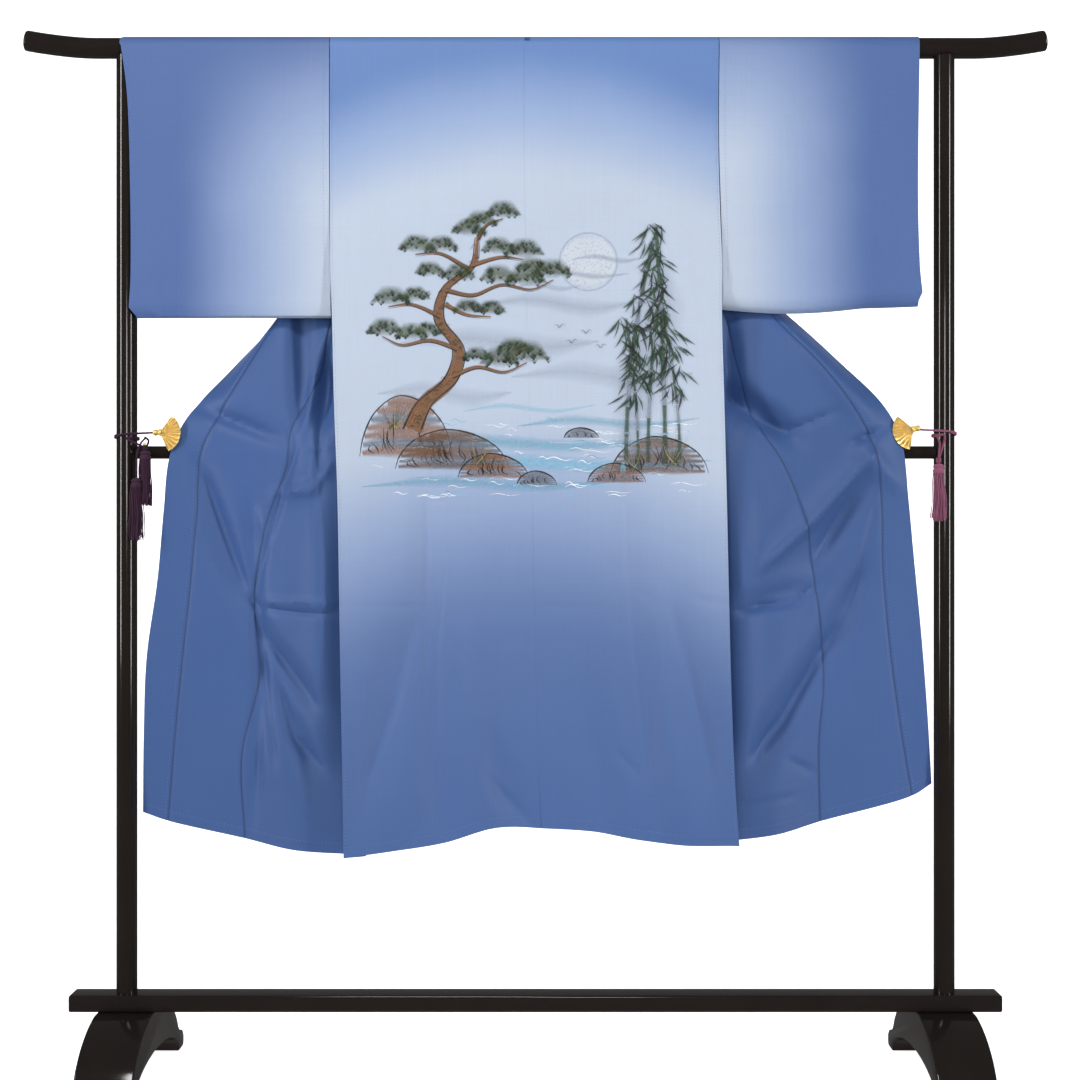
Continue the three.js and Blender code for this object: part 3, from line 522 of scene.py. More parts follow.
# A smooth curve through each row's points, without loops where they lie close. Places count points from 0.
def sectionCurve(points, places):
    first = 2 * points[:, :1] - points[:, 1:2]
    last = 2 * points[:, -1:] - points[:, -2:-1]
    padded = np.concatenate([first, points, last], 1)
    i = np.clip(np.floor(places).astype(int), 0, points.shape[1] - 2)
    t = (places - i)[..., None]
    row = np.arange(len(points))[:, None]
    p0, p1, p2, p3 = (padded[row, i + k] for k in range(4))
    gap = [np.maximum(np.linalg.norm(b - a, axis=2, keepdims=True), 1e-6) ** 0.5
           for a, b in ((p0, p1), (p1, p2), (p2, p3))]
    leave = ((p1 - p0) / gap[0] - (p2 - p0) / (gap[0] + gap[1]) + (p2 - p1) / gap[1]) * gap[1]
    arrive = ((p2 - p1) / gap[1] - (p3 - p1) / (gap[1] + gap[2]) + (p3 - p2) / gap[2]) * gap[1]
    second = -3 * p1 + 3 * p2 - 2 * leave - arrive
    third = 2 * p1 - 2 * p2 + leave + arrive
    return p1 + leave * t + second * t**2 + third * t**3


def smoothPath(points, steps):
    points = np.asarray(points, float)
    return sectionCurve(points[None], np.linspace(0, len(points) - 1, steps)[None])[0]


# The width of a front's whole cut, which sets how far its hidden roll reaches, and the roll's depths.
roll = {"cut": 240, "growth": 190, "hemShift": 60, "openDepth": 24, "gapHigh": 18, "gapLow": 12}


# One side of the garment. Rows are wrap angles over the rail, and then shares of the hang.
class Side:
    def __init__(self, name):
        self.name, self.sign = name, -1 if name == "left" else 1
        self.side = sideLine[name]
        self.other = sideLine["right" if name == "left" else "left"]
        self.front, self.hang = frontLine[name], frontHang[name]
        self.sideHang = along(backHang, name, 1.0, "place")

    def centreOut(self, share):
        return (along(self.side, "out", share) - along(self.other, "out", share)) / 2

    def backDepth(self, share, out, drop):
        centre = self.centreOut(share)
        place = np.clip((out - centre) / (along(self.side, "out", share) - centre), 0, 1)
        flat = lerp(along(backCentre, "depth", share), along(self.side, "depth", share), place**1.6)
        return flat + cloth["backFold"] * foldDepth(folds["back_" + self.name], out, drop)

    def backGrid(self, shares, places, angles):
        share, place = np.meshgrid(shares, places, indexing="ij")
        centre = self.centreOut(share)
        out = lerp(centre, along(self.side, "out", share) - cloth["seamGap"], place)
        drop = np.maximum(share * along(backHang, self.name, place, "place"), cloth["wrapRadius"])
        depth = self.backDepth(share, out, drop) + cloth["tuck"] * smoothstep(-place, 0, 0.004)
        hung = np.stack([self.sign * out, depth, crestZ - drop], -1)
        return np.concatenate([wrapped(hung[:1, :, 0], angles, -1), hung])

    # A front's section in seven points: side seam, two of the hidden roll, belly, both seams and the edge.
    def section(self, share):
        sideOut = along(self.side, "out", share)
        drop = np.maximum(share * self.sideHang, cloth["wrapRadius"])
        collarOut = along(self.front, "collarOut", share)
        cut = roll["cut"] + roll["growth"] * (1 - np.exp(-3 * share)) / (1 - math.exp(-3))
        rollOut = (sideOut + collarOut - cut + roll["hemShift"] * share) / 2
        behind = self.backDepth(share, rollOut, drop) + cloth["rollClearance"]
        opened = smoothstep(share, cloth["offRail"], 0.09)
        lapOut = along(self.front, "lapOut", share)
        closing = smoothstep(share, cloth["hollowEnd"], cloth["closedFrom"])
        near = lerp(lerp(cloth["wrapRadius"], roll["openDepth"], opened), behind, closing)
        gap = lerp(roll["gapHigh"], roll["gapLow"], smoothstep(share, 0.2, 0.4)) * opened
        seam = self.backDepth(share, sideOut, drop) + cloth["seamClearance"]
        closed = smoothstep(share, 0.22, cloth["armholeDrop"] / self.sideHang)
        sideDepth = lerp(cloth["wrapRadius"] + 2 * opened, seam, closed)

        def spot(key):
            fall = np.maximum(share * self.hang[key], cloth["wrapRadius"])
            return [along(self.front, key + "Out", share), along(self.front, key + "Depth", share), fall]

        edge = spot("edge")
        overRail = 1 - smoothstep(share, cloth["offRail"], 0.16)
        edge[2] = edge[2] + (cloth["collarWidth"] - cloth["wrapRadius"]) * overRail
        rows = [
            [sideOut - cloth["seamGap"], sideDepth, drop],
            [lerp(lerp(sideOut, lapOut, 0.3), rollOut, opened), near, drop],
            [lerp(lerp(sideOut, lapOut, 0.55), rollOut, opened), near + gap, drop],
            spot("belly"), spot("lap"), spot("collar"), edge,
        ]
        points = np.stack([np.stack(np.broadcast_arrays(*r), -1) for r in rows], 1)
        return np.stack([self.sign * points[..., 0], points[..., 1], crestZ - points[..., 2]], -1)

    # Place counts the section's points, so 4 is the overlap's seam and 5 the collar's. Past the seam the
    # cloth is tucked in behind its neighbour, as a seam allowance is.
    def frontGrid(self, shares, placesAt, angles, seam=9.0):
        share = np.asarray(shares)[:, None]
        places = np.stack([placesAt(s) for s in shares])
        grid = sectionCurve(self.section(np.asarray(shares)), places)
        out, drop = self.sign * grid[..., 0], crestZ - grid[..., 2]
        hidden = smoothstep(share, 0.25, 0.31) * (1 - smoothstep(places, 0.8, 1.2))
        clearance = lerp(cloth["seamClearance"], cloth["rollClearance"], np.minimum(places, 1))
        behind = self.backDepth(share, out, drop) + clearance
        depth = lerp(grid[..., 1], behind, hidden)
        folded = foldDepth(folds["front_" + self.name], out, drop)
        depth = depth + cloth["frontFold"] * smoothstep(places, 2.3, 3) * folded
        tucked = smoothstep(places, seam - 0.004, seam + 0.01) * (share > cloth["lapStart"])
        depth = depth + cloth["tuck"] * tucked
        shown = smoothstep(share, 0.05, 0.09)
        depth = depth + cloth["groove"] * shown * seamMark(grid, places, 2.6)
        # Painted shade along both seams, kept as the seam attribute that darkens the dye.
        seamShade = shown * seamMark(grid, places, 1.5)
        grid = np.stack([grid[..., 0], depth, grid[..., 2]], -1)
        if len(angles):
            grid = np.concatenate([wrapped(grid[:1, :, 0], angles, 1), grid])
            seamShade = np.concatenate([np.zeros((len(angles), seamShade.shape[1])), seamShade])
        return grid, seamShade


# 1 on the overlap's seam and the collar's, fading over a reach in millimetres. It shapes the seams' grooves
# and also their painted shade.
def seamMark(grid, places, reach):
    run = np.cumsum(np.linalg.norm(np.diff(grid, axis=1, prepend=grid[:, :1]), axis=2), 1)
    mark = np.zeros(places.shape)
    for seam in (4, 5):
        at = np.array([np.interp(seam, p, r) for p, r in zip(places, run)])[:, None]
        mark = np.maximum(mark, np.exp(-(((run - at) / reach) ** 2)))
    return mark


# Cloth lying on the rail, at angles from the crest; side is -1 near and 1 far.
def wrapped(x, angles, side):
    a = np.asarray(angles)[:, None]
    x = np.broadcast_to(x, (len(a), x.shape[1]))
    radius = cloth["wrapRadius"]
    return np.stack([x, side * radius * np.sin(a) + 0 * x, stand["railZ"] + radius * np.cos(a) + 0 * x], -1)


wrapAngles = np.linspace(0.002, math.pi / 2, 9)[:-1]
hangShares = np.linspace(cloth["offRail"], 1, 240)
sides = {name: Side(name) for name in ("left", "right")}


def bodyPlaces(share):
    seamEnds = [3.99, 3.996, 4.002, 4.01, 4.03, 4.05, 4.07]
    tail = np.linspace(3.99, 4.3, 7) if share < cloth["lapStart"] else seamEnds
    hidden = [np.linspace(0, 1, 17)[:-1], np.linspace(1, 2, 11)[:-1], np.linspace(2, 3, 31)[:-1]]
    return np.concatenate([*hidden, np.linspace(3, 3.985, 32), tail])


lapPlaces = np.concatenate([
    [4.001, 4.008, 4.016, 4.026], np.linspace(4.04, 4.985, 33), [4.99, 4.996, 5.002, 5.01, 5.03, 5.06],
])
collarPlaces = np.concatenate([[5.001, 5.02, 5.04, 5.07], np.linspace(5.1, 6, 14)])
backPlaces = {
    "left": np.concatenate([[-0.03, -0.02, -0.01, -0.004, -0.002, 0], np.linspace(0.005, 1, 92)]),
    "right": np.concatenate([[0.001], np.linspace(0.005, 1, 92)]),
}


pieces = {}
stitchRows = {"silk_back": [], "silk_front": [], "silk_sleeve": []}
lapShares = hangShares[hangShares > cloth["lapStart"]]
for name, part in sides.items():
    title = name.title()
    backGrid = part.backGrid(hangShares, backPlaces[name], wrapAngles)
    pieces["back_" + name] = wall("back" + title, backGrid, "silkBack")
    stitchRows["silk_back"] += [backGrid[9:-2, -2], backGrid[-4, 7:-2]]
    frontGrid, seamShade = part.frontGrid(hangShares, bodyPlaces, wrapAngles, 4.0)
    pieces["front_" + name] = wall("front" + title, frontGrid, "silkFront", seamShade=seamShade)
    stitchRows["silk_front"].append(frontGrid[-4, 18:-6])
    lapGrid, seamShade = part.frontGrid(lapShares, lambda share: lapPlaces, [], 5.0)
    pieces["overlap_" + name] = wall("overlap" + title, lapGrid, "silkFront", seamShade=seamShade)
    stitchRows["silk_front"].append(lapGrid[-4, 4:-6])
    collarGrid, seamShade = part.frontGrid(hangShares, lambda share: collarPlaces, [])
    pieces["collar_" + name] = wall("collar" + title, collarGrid, "silkFront", seamShade=seamShade)
    stitchRows["silk_front"] += [collarGrid[12:-2, 4], collarGrid[-4, 4:-1]]
print("body panels made")

# The neck's stretch of collar hangs behind the rail between the two shoulders.
neckMiddle = (sideLine["right"]["out"][0] - sideLine["left"]["out"][0]) / 2
neckRows = [(cloth["neckHalf"], a, None) for a in wrapAngles]
neckRows += [
    (cloth["neckHalf"] - 2 - (d - cloth["wrapRadius"]) * 1.5, None, d)
    for d in np.linspace(cloth["wrapRadius"], cloth["collarWidth"], 14)
]
neckGrid = []
for half, angle, drop in neckRows:
    xs = neckMiddle + (half - 0.4) * np.linspace(-1, 1, 40)
    if drop is None:
        neckGrid.append(wrapped(xs[None], [angle], 1)[0])
    else:
        depth = cloth["wrapRadius"] + (drop - cloth["wrapRadius"]) * 0.1
        neckGrid.append(np.stack([xs, 0 * xs + depth, 0 * xs + crestZ - drop], -1))
pieces["collar_neck"] = wall("collarNeck", np.array(neckGrid), "silkFront")

cuffLine = {
    "left": table("drop out", [[0, 694], [100, 681], [246, 676], [400, 675], [470, 679]]),
    "right": table("drop out", [[0, 641], [271, 638], [406, 641], [470, 647]]),
}
sleeveShape = {
    "left": {"farCuff": 666.75, "farBelly": 2}, "right": {"farCuff": 640, "farBelly": 9},
    "sag": 449, "foldStart": 18, "nearLean": 6, "farLean": 21, "tubeEnd": 456, "crownArc": 80,
}
sleeveFolds = {
    "left": table(foldColumns, [
        [464, 18, 462, 174, 2.6, 0.9], [462, 174, 460, 310, 2.6, 0.9], [460, 310, 455, 472, 2.6, 0.9],
        [453, 282, 453, 469, 2.6, -0.6], [560, 60, 575, 440, 30, 1.6], [640, 120, 630, 450, 26, -1.4],
        [390, 150, 396, 460, 22, 1.2], [350, 384, 500, 392, 5, 0.5],
    ]),
    "right": table(foldColumns, [
        [409, 146, 413, 251, 2.6, 0.9], [413, 251, 424, 360, 2.6, 0.9], [424, 360, 434, 441, 2.6, 0.9],
        [431, 215, 431, 286, 2.6, -0.6], [311, 386, 401, 385, 4, -1], [311, 408, 401, 408, 4, 0.8],
        [520, 80, 510, 430, 30, 1.4], [590, 150, 600, 430, 24, -1.4], [360, 120, 356, 430, 24, 1],
    ]),
}


def sleeve(name):
    sign = -1 if name == "left" else 1
    hang = along(backHang, name, 1.0, "place")
    place = np.linspace(0, 1, 70)[:, None]
    farCuff, farBelly = sleeveShape[name]["farCuff"], sleeveShape[name]["farBelly"]
    full, radius = cloth["sleeveDrop"], cloth["wrapRadius"]
    sag = sleeveShape["sag"] + 7 * np.sin(math.pi * np.minimum(place * 1.4, 1)) - 5 * place**3
    bottom = full + 0 * place if name == "left" else sag
    scale = bottom / full

    def outAt(end, drop):
        armhole = along(sideLine[name], "out", np.minimum(drop / hang, 0.3)) + 1
        return lerp(armhole, end, place)

    def near(drop):
        out = outAt(along(cuffLine[name], "out", drop, "drop"), drop)
        depth = -19 - sleeveShape["nearLean"] * (drop / full) ** 2 * (1 - place**3)
        folded = foldDepth(sleeveFolds[name], out, drop * scale)
        depth = depth + folded * smoothstep(drop, sleeveShape["foldStart"], 60)
        return np.stack([sign * out, depth + 0 * out, crestZ - drop * scale + 0 * out], -1)

    def far(drop):
        out = outAt(farCuff, drop)
        depth = 18.7 - sleeveShape["farLean"] * (drop / full) ** 3
        sagging = farBelly * np.sin(math.pi * drop / (2 * sleeveShape["tubeEnd"])) ** 2
        return np.stack([sign * out, depth + 0 * out, crestZ - drop * scale - sagging + 0 * out], -1)

    def crown(angle):
        end = lerp(cuffLine[name]["out"][0], farCuff, smoothstep(angle, -1, 1))
        out = outAt(end, np.zeros_like(angle))
        z = stand["railZ"] + radius * np.cos(angle) + 0 * out
        return np.stack([sign * out, radius * np.sin(angle) + 0 * out, z], -1)

    drops = np.linspace(radius, sleeveShape["tubeEnd"], 56)[None]
    lowest = np.array([[full]], float)
    turnNear, turnFar = near(lowest), far(lowest)
    turnNear[..., 0] = sign * outAt(farCuff, lowest)
    turnNear[..., 1] += 4
    turnFar[..., 1] -= 5
    turnMid = lerp(turnNear, turnFar, 0.5)
    turnMid[..., 2] -= 2
    angles = np.radians(np.linspace(-sleeveShape["crownArc"], sleeveShape["crownArc"], 17))[None]
    loop = [near(drops[:, ::-1]), crown(angles), far(drops), turnFar, turnMid, turnNear]
    grid = np.concatenate(loop, 1)
    stitchRows["silk_sleeve"] += [grid[-2, :55], grid[2, 4:55]]
    return wall("sleeve" + name.title(), grid, "silkSleeve", looped=True)


for name in sides:
    pieces["sleeve_" + name] = sleeve(name)
print("sleeves made")
for node, piece in pieces.items():
    slot = {"back": "silk_back", "sleeve": "silk_sleeve"}.get(node.split("_")[0], "silk_front")
    place(piece, slot, node)


# The painted design on the back: a generic pine, bamboo and stream, as thin strokes that lie on the silk.
ink = {
    "black": (0.012, 0.012, 0.014), "grey": (0.20, 0.23, 0.29), "mist": (0.36, 0.41, 0.50),
    "pine": (0.016, 0.040, 0.016), "olive": (0.075, 0.095, 0.030), "leaf": (0.035, 0.075, 0.045),
    "bark": (0.17, 0.085, 0.040), "rust": (0.30, 0.14, 0.07), "stone": (0.16, 0.17, 0.20),
    "water": (0.19, 0.47, 0.62), "white": (0.80, 0.84, 0.88), "straw": (0.42, 0.34, 0.17),
}
painting = {"points": [], "faces": [], "colours": [], "count": 0, "lift": 0.12, "layer": 0.0006}
rng = np.random.default_rng(11)


# Depth of the back's near face at an x and a z.
def backFace(x, z):
    depth = np.zeros_like(x)
    for name, part in sides.items():
        out, drop = part.sign * x, crestZ - z
        share = drop / cloth["meanHang"]
        for _ in range(3):
            centre = part.centreOut(share)
            place = np.clip((out - centre) / (along(part.side, "out", share) - centre), 0, 1)
            share = drop / along(backHang, name, place, "place")
        mine = out >= part.centreOut(share)
        depth = np.where(mine, part.backDepth(share, out, drop), depth)
    return depth - cloth["thickness"] / 2


# One brush stroke: a line of (x, z) points, widths along it, a colour, and edges that fade by the softness.
def brush(line, widths, colour, alpha=0.9, soft=0.35, steps=None, cols=4):
    line = np.asarray(line, float)
    steps = steps or 4 * len(line)
    run = np.linspace(0, 1, steps)
    path = smoothPath(line, steps) if len(line) > 2 else lerp(line[0], line[1], run[:, None])
    width = np.interp(run, np.linspace(0, 1, len(widths)), widths)
    tangent = np.gradient(path, axis=0)
    tangent /= np.linalg.norm(tangent, axis=1, keepdims=True) + 1e-9
    across = np.linspace(-1, 1, cols + 1)
    normal = np.stack([-tangent[:, 1], tangent[:, 0]], -1)
    grid = path[:, None] + normal[:, None] * (across[None, :, None] * width[:, None, None] / 2)
    x, z = grid[..., 0].ravel(), grid[..., 1].ravel()
    painting["count"] += 1
    lift = painting["lift"] + painting["layer"] * painting["count"]
    fade = np.clip((1 - np.abs(across)) / max(soft, 1e-3), 0, 1) if soft else 1 + 0 * across
    opacity = alpha * np.broadcast_to(fade, (steps, cols + 1)).ravel()
    base = sum(len(p) for p in painting["points"])
    painting["points"].append(np.stack([x, backFace(x, z) - lift, z], -1))
    painting["faces"].append(gridFaces(steps, cols + 1)[0] + base)
    tone = np.array(ink[colour]) * rng.uniform(0.85, 1.15)
    painting["colours"].append(np.concatenate([np.tile(tone, (len(x), 1)), opacity[:, None]], 1))


# A long low stroke. Each cut divides its length, which gives a point's distance from the middle.
def wisp(x, z, length, cuts, rises, *look):
    brush([(x + length / cut, z + rise) for cut, rise in zip(cuts, rises)], *look)


# Pale mist, and the stream's washes with its white ripples.
for x, z, length, width in (
    (-60, 1235, 330, 46), (110, 1180, 300, 40), (-150, 1150, 220, 34), (40, 1300, 260, 30),
):
    wisp(x, z, length, (-2, -6, 5, 2), (0, 9, -6, 4), [4, width, width * 1.2, 4], "mist", 0.28, 1.0, 30, 10)
for x, z, length, width, alpha in (
    (-30, 1070, 500, 30, 0.5), (60, 1034, 460, 34, 0.5), (-70, 1002, 430, 24, 0.45),
    (120, 1104, 300, 20, 0.42), (-10, 1128, 220, 12, 0.32),
):
    washWidths = [2, width, width * 0.8, 2]
    wisp(x, z, length, (-2, -5, 5, 2), (-6, 4, -5, 5), washWidths, "water", alpha, 1.0, 40, 10)
for i in range(96):
    x, z = rng.uniform(-260, 262), rng.uniform(978, 1112)
    length = rng.uniform(14, 62)
    rise = rng.uniform(1.5, 4)
    colour = ("white", "white", "water")[i % 3]
    rises = (0, rise, -rise / 2, 1)
    wisp(x, z, length, (-2, -5, 6, 2), rises, [0.5, 2, 1.6, 0.4], colour, 0.92, 0.4, 12, 3)


rockContour = (
    (-0.53, 0), (-0.49, 0.34), (-0.36, 0.76), (-0.1, 1.05), (0.16, 0.97), (0.4, 0.64), (0.5, 0.3),
    (0.54, 0),
)


# A rock: layered washes under broken ink contours.
def rock(x, z, wide, tall, body):
    for k in range(7):
        t = (k + 0.4) / 7
        half = wide * 0.5 * (1 - t**2.2) ** 0.5
        line = [(x - half, z + tall * t), (x - half * 0.4, z + tall * (t + 0.05))]
        line += [(x + half * 0.4, z + tall * (t + 0.03)), (x + half, z + tall * t)]
        washWidths = [tall * w for w in (0.12, 0.28, 0.28, 0.12)]
        brush(line, washWidths, "stone" if k % 3 == 1 else body, 0.6, 0.8, 22, 8)
    contour = [(x + wide * a, z + tall * b) for a, b in rockContour]
    brush(contour, [1, 3.2, 2, 3.4, 1.8, 0.8], "black", 0.95, 0.3)
    for k in range(int(wide / 8)):
        a = rng.uniform(-0.44, 0.44)
        top = tall * (1 - 1.6 * abs(a)) * rng.uniform(0.6, 0.95)
        bend = (x + wide * (a + rng.uniform(-0.05, 0.07)), z + top * 0.55)
        foot = (x + wide * (a + rng.uniform(-0.02, 0.1)), z + top * rng.uniform(0.05, 0.3))
        brush([(x + wide * a, z + top), bend, foot], [0.6, rng.uniform(1.4, 3.4), 0.3], "black", 0.85, 0.5)


# A pale disc low in the mist, behind everything else.
disc = {"x": 88, "z": 1372, "radius": 46}
heights = np.linspace(-disc["radius"], disc["radius"], 41)
discWidths = [2 * math.sqrt(max(disc["radius"] ** 2 - h**2, 1)) for h in heights]
discEnds = [(disc["x"] - disc["radius"], disc["z"]), (disc["x"] + disc["radius"], disc["z"])]
brush(discEnds, discWidths, "white", 0.5, 0.16, 60, 16)
turn = np.linspace(0, 2 * math.pi, 40)
halo = disc["radius"] + 2
haloLine = np.stack([disc["x"] + halo * np.cos(turn), disc["z"] + halo * np.sin(turn)], -1)
brush(haloLine, [5, 5], "mist", 0.45, 0.9, 60, 4)
for x, z, length in ((70, 1350, 170), (120, 1376, 120), (20, 1330, 110)):
    wisp(x, z, length, (-2, -6, 5, 2), (0, 5, -3, 2), [2, 11, 12, 2], "mist", 0.5, 0.9, 30, 8)

for x, z, wide, tall, body in (
    (-214, 1046, 142, 96, "rust"), (-138, 1026, 176, 62, "bark"), (-70, 1012, 110, 38, "rust"),
    (2, 1000, 62, 22, "stone"), (204, 1018, 150, 58, "bark"), (134, 1004, 90, 30, "rust"),
    (76, 1078, 54, 16, "stone"),
):
    rock(x, z, wide, tall, body)

# The pine: a leaning trunk, its branches, and flat pads of needles.
trunk = [
    (-204, 1092), (-184, 1134), (-140, 1176), (-128, 1226), (-160, 1276), (-150, 1326), (-104, 1366),
    (-96, 1412),
]
brush(trunk, [36, 28, 24, 20, 17, 14, 10, 5], "bark", 0.96, 0.25, 60, 8)
brush([(x - 5, z) for x, z in trunk], [8, 7, 6, 5, 4, 4, 3, 2], "rust", 0.7, 0.8, 60, 5)
for side in (-1, 1):
    edge = [(x + side * (15 - 1.6 * i), z) for i, (x, z) in enumerate(trunk)]
    brush(edge, [3.6, 2, 3, 1.8, 2.6, 1.8, 1.6, 1], "black", 0.93, 0.3, 60, 3)
for i in range(90):
    t = rng.uniform(0, 6.6)
    x, z = lerp(np.array(trunk[int(t)]), np.array(trunk[int(t) + 1]), t % 1) + rng.uniform(-8, 8, 2)
    brush([(x - 4, z), (x, z + 4), (x + 4, z + 1)], [0.5, 1.8, 0.5], "black", 0.8, 0.4, 8, 2)
branches = [
    [(-138, 1180), (-96, 1196), (-52, 1188), (-14, 1204)],
    [(-130, 1226), (-176, 1240), (-222, 1232), (-254, 1246)],
    [(-158, 1280), (-206, 1300), (-244, 1296)],
    [(-150, 1324), (-104, 1316), (-56, 1334), (-6, 1326), (30, 1342)],
    [(-106, 1366), (-56, 1380), (-20, 1376)], [(-112, 1360), (-160, 1386), (-200, 1384)],
    [(-96, 1410), (-80, 1434), (-54, 1444)], [(-150, 1300), (-116, 1284), (-74, 1280)],
]
for line in branches:
    brush(line, [11, 7.5, 5, 2.4], "bark", 0.95, 0.3, 26, 4)
    brush([(x, z - 3) for x, z in line], [2.4, 2.6, 1.8, 0.8], "black", 0.9, 0.4, 26, 2)


# A flat pad of needles.
def needles(x, z, wide, count):
    tall = wide * 0.46
    top = z + tall * 0.35
    pad = [(x - wide / 2, z), (x - wide / 6, top), (x + wide / 6, top), (x + wide / 2, z)]
    brush(pad, [3, tall * 1.2, tall * 1.2, 3], "olive", 0.6, 0.8, 16, 6)
    for i in range(count):
        a, r = rng.uniform(0, math.pi), rng.uniform(0.1, 1) ** 0.5
        px, pz = x + wide / 2 * r * math.cos(a), z - tall * 0.25 + tall * 0.85 * r * math.sin(a)
        colour = ("pine", "black", "leaf", "pine")[i % 4]
        for lean in (-0.7, -0.35, 0, 0.35, 0.7):
            long = rng.uniform(6, 10)
            tip = (px + long * math.sin(lean), pz + long * math.cos(lean))
            brush([(px, pz), tip], [1.5, 0.5], colour, 0.95, 0.3, 3, 2)


for x, z, wide in (
    (-14, 1210, 74), (-60, 1202, 66), (-98, 1210, 48), (-250, 1252, 62), (-206, 1246, 56), (-240, 1304, 64),
    (-200, 1310, 50), (28, 1350, 66), (-16, 1338, 70), (-62, 1342, 62), (-18, 1384, 66), (-62, 1390, 58),
    (-198, 1392, 62), (-156, 1394, 54), (-54, 1450, 60), (-92, 1436, 54), (-74, 1288, 50), (-112, 1290, 52),
    (-112, 1420, 58), (-176, 1352, 50), (-128, 1346, 56), (-178, 1252, 46), (-36, 1222, 58), (-6, 1360, 50),
):
    needles(x, z, wide, int(wide * 0.42))

# Bamboo in thinner ink, leaning the other way, and short reeds on the bank.
brush([(150, 1060), (176, 1180), (206, 1300), (196, 1400)], [40, 110, 90, 20], "mist", 0.3, 1.0, 40, 12)
culms = (
    (150, 1040, 1404, 46, 9), (186, 1036, 1340, 24, 7.5), (214, 1034, 1432, -14, 9),
    (238, 1040, 1290, -30, 6.5), (170, 1030, 1276, -20, 6),
)
for x, low, high, lean, width in culms:
    joints = np.linspace(low, high, 9)
    for k in range(8):
        a, b = joints[k] + 1.6, joints[k + 1] - 1.6
        bend = [(x + lean * ((h - low) / (high - low)) ** 2, h) for h in (a, (a + b) / 2, b)]
        brush(bend, [width, width * 0.8, width], "grey" if k % 3 == 2 else "leaf", 0.85, 0.5, 10, 5)
        knot = bend[2][0]
        ring = [(knot - width * 0.6, b + 1.6), (knot + width * 0.6, b + 1.6)]
        brush(ring, [1.4, 1.4], "black", 0.8, 0.3, 4, 2)
        for j in range(9 if k > 2 else 0):
            a = rng.uniform(-2.6, -0.5)
            long = rng.uniform(26, 46)
            start = (knot + rng.uniform(-14, 14), b + rng.uniform(-8, 8))
            middle = (start[0] + long * 0.5 * math.cos(a) + 2, start[1] + long * 0.5 * math.sin(a))
            end = (start[0] + long * math.cos(a), start[1] + long * math.sin(a))
            leafWidths = [0.6, rng.uniform(4, 6.5), 0.3]
            brush([start, middle, end], leafWidths, ("leaf", "black", "pine")[j % 3], 0.9, 0.35, 9, 3)
for x, z, count in ((-232, 1100, 12), (-92, 1042, 10), (228, 1040, 14), (168, 1030, 8)):
    for i in range(count):
        tip = (x + rng.uniform(-26, 26), z + rng.uniform(16, 42))
        brush([(x + rng.uniform(-10, 10), z - 8), ((x + tip[0]) / 2 - 2, z + 8), tip], [1.8, 1.4, 0.4],
              ("olive", "leaf", "straw")[i % 3], 0.9, 0.3, 8, 2)
for x, z in ((60, 1236), (84, 1252), (40, 1262), (108, 1228)):
    wings = [(x - 9, z + 4), (x - 4, z + 5), (x, z), (x + 5, z + 6), (x + 10, z + 4)]
    brush(wings, [0.4, 1.6, 2.2, 1.6, 0.4], "black", 0.85, 0.3, 14, 2)

paint = Shader("brushPaint")
attribute = paint.node("ShaderNodeAttribute", {"attribute_name": "paint"}).socket.node
tone, opacity = (Value(paint, attribute.outputs[name]) for name in ("Color", "Alpha"))
paintSpot = paint.place()[0]
dry = paint.noise(paintSpot, 260.0, 3.0, (1, 1, 1)).step(0.28, 0.5)
finishes["paint"] = paint.finish({
    "Base Color": paint.tint(tone, 0.85 + dry * 0.3), "Roughness": 0.62 - dry * 0.08,
    "Alpha": opacity * (0.68 + dry * 0.32), "Sheen Weight": 0.15, "Specular IOR Level": 0.3,
})
strokes = {key: np.concatenate(painting[key]) for key in ("points", "faces", "colours")}
design = meshObject("backPainting", strokes["points"], strokes["faces"].tolist(), "paint", 180)
layer = design.data.color_attributes.new("paint", "FLOAT_COLOR", "POINT")
layer.data.foreach_set("color", strokes["colours"].astype(np.float32).ravel())
place(design, "silk_back")
print("painting strokes:", painting["count"])


# The rail's ends turn up.
def railRise(x):
    past = np.maximum(np.abs(x) - stand["bendOut"], 0) / (stand["railHalf"] - stand["bendOut"])
    return stand["railRise"] * past**1.6


railX = np.concatenate([[-855, -854.4, -853], np.linspace(-850, 850, 121), [853, 854.4, 855]])
railRound = np.array([0.86, 0.95, 0.99, *np.ones(121), 0.99, 0.95, 0.86]) * stand["railRadius"]
railLine = np.stack([railX, 0 * railX, stand["railZ"] + railRise(railX)], -1)
place(tube("topRail", railLine, railRound, "lacquer", 64), "lacquer", "top_rail")
for name, sign in (("left", -1), ("right", 1)):
    x = sign * stand["postOut"]
    heights = np.linspace(stand["beamTop"] + 0.3, stand["railZ"] - 14, 30)
    line = np.stack([0 * heights + x, 0 * heights, heights], -1)
    post = tube("post" + name.title(), line, stand["postRadius"], "lacquer", 64)
    place(post, "lacquer", "post_" + name)
reach = stand["postOut"] - stand["postRadius"] + 1
midX = np.linspace(-reach, reach, 60)
midLine = np.stack([midX, 0 * midX, 0 * midX + stand["midZ"]], -1)
place(tube("midRail", midLine, stand["midRadius"], "lacquer", 48), "lacquer", "mid_rail")
low, high, deep = stand["beamTop"] - stand["beamHeight"], stand["beamTop"], stand["beamDepth"] / 2
section = [(-deep, low), (deep, low), (deep, high), (-deep, high)]
beam = extruded("bottomBeam", section, -stand["beamHalf"], stand["beamHalf"], "lacquer", 3.5, 6)
place(beam, "lacquer", "bottom_beam")


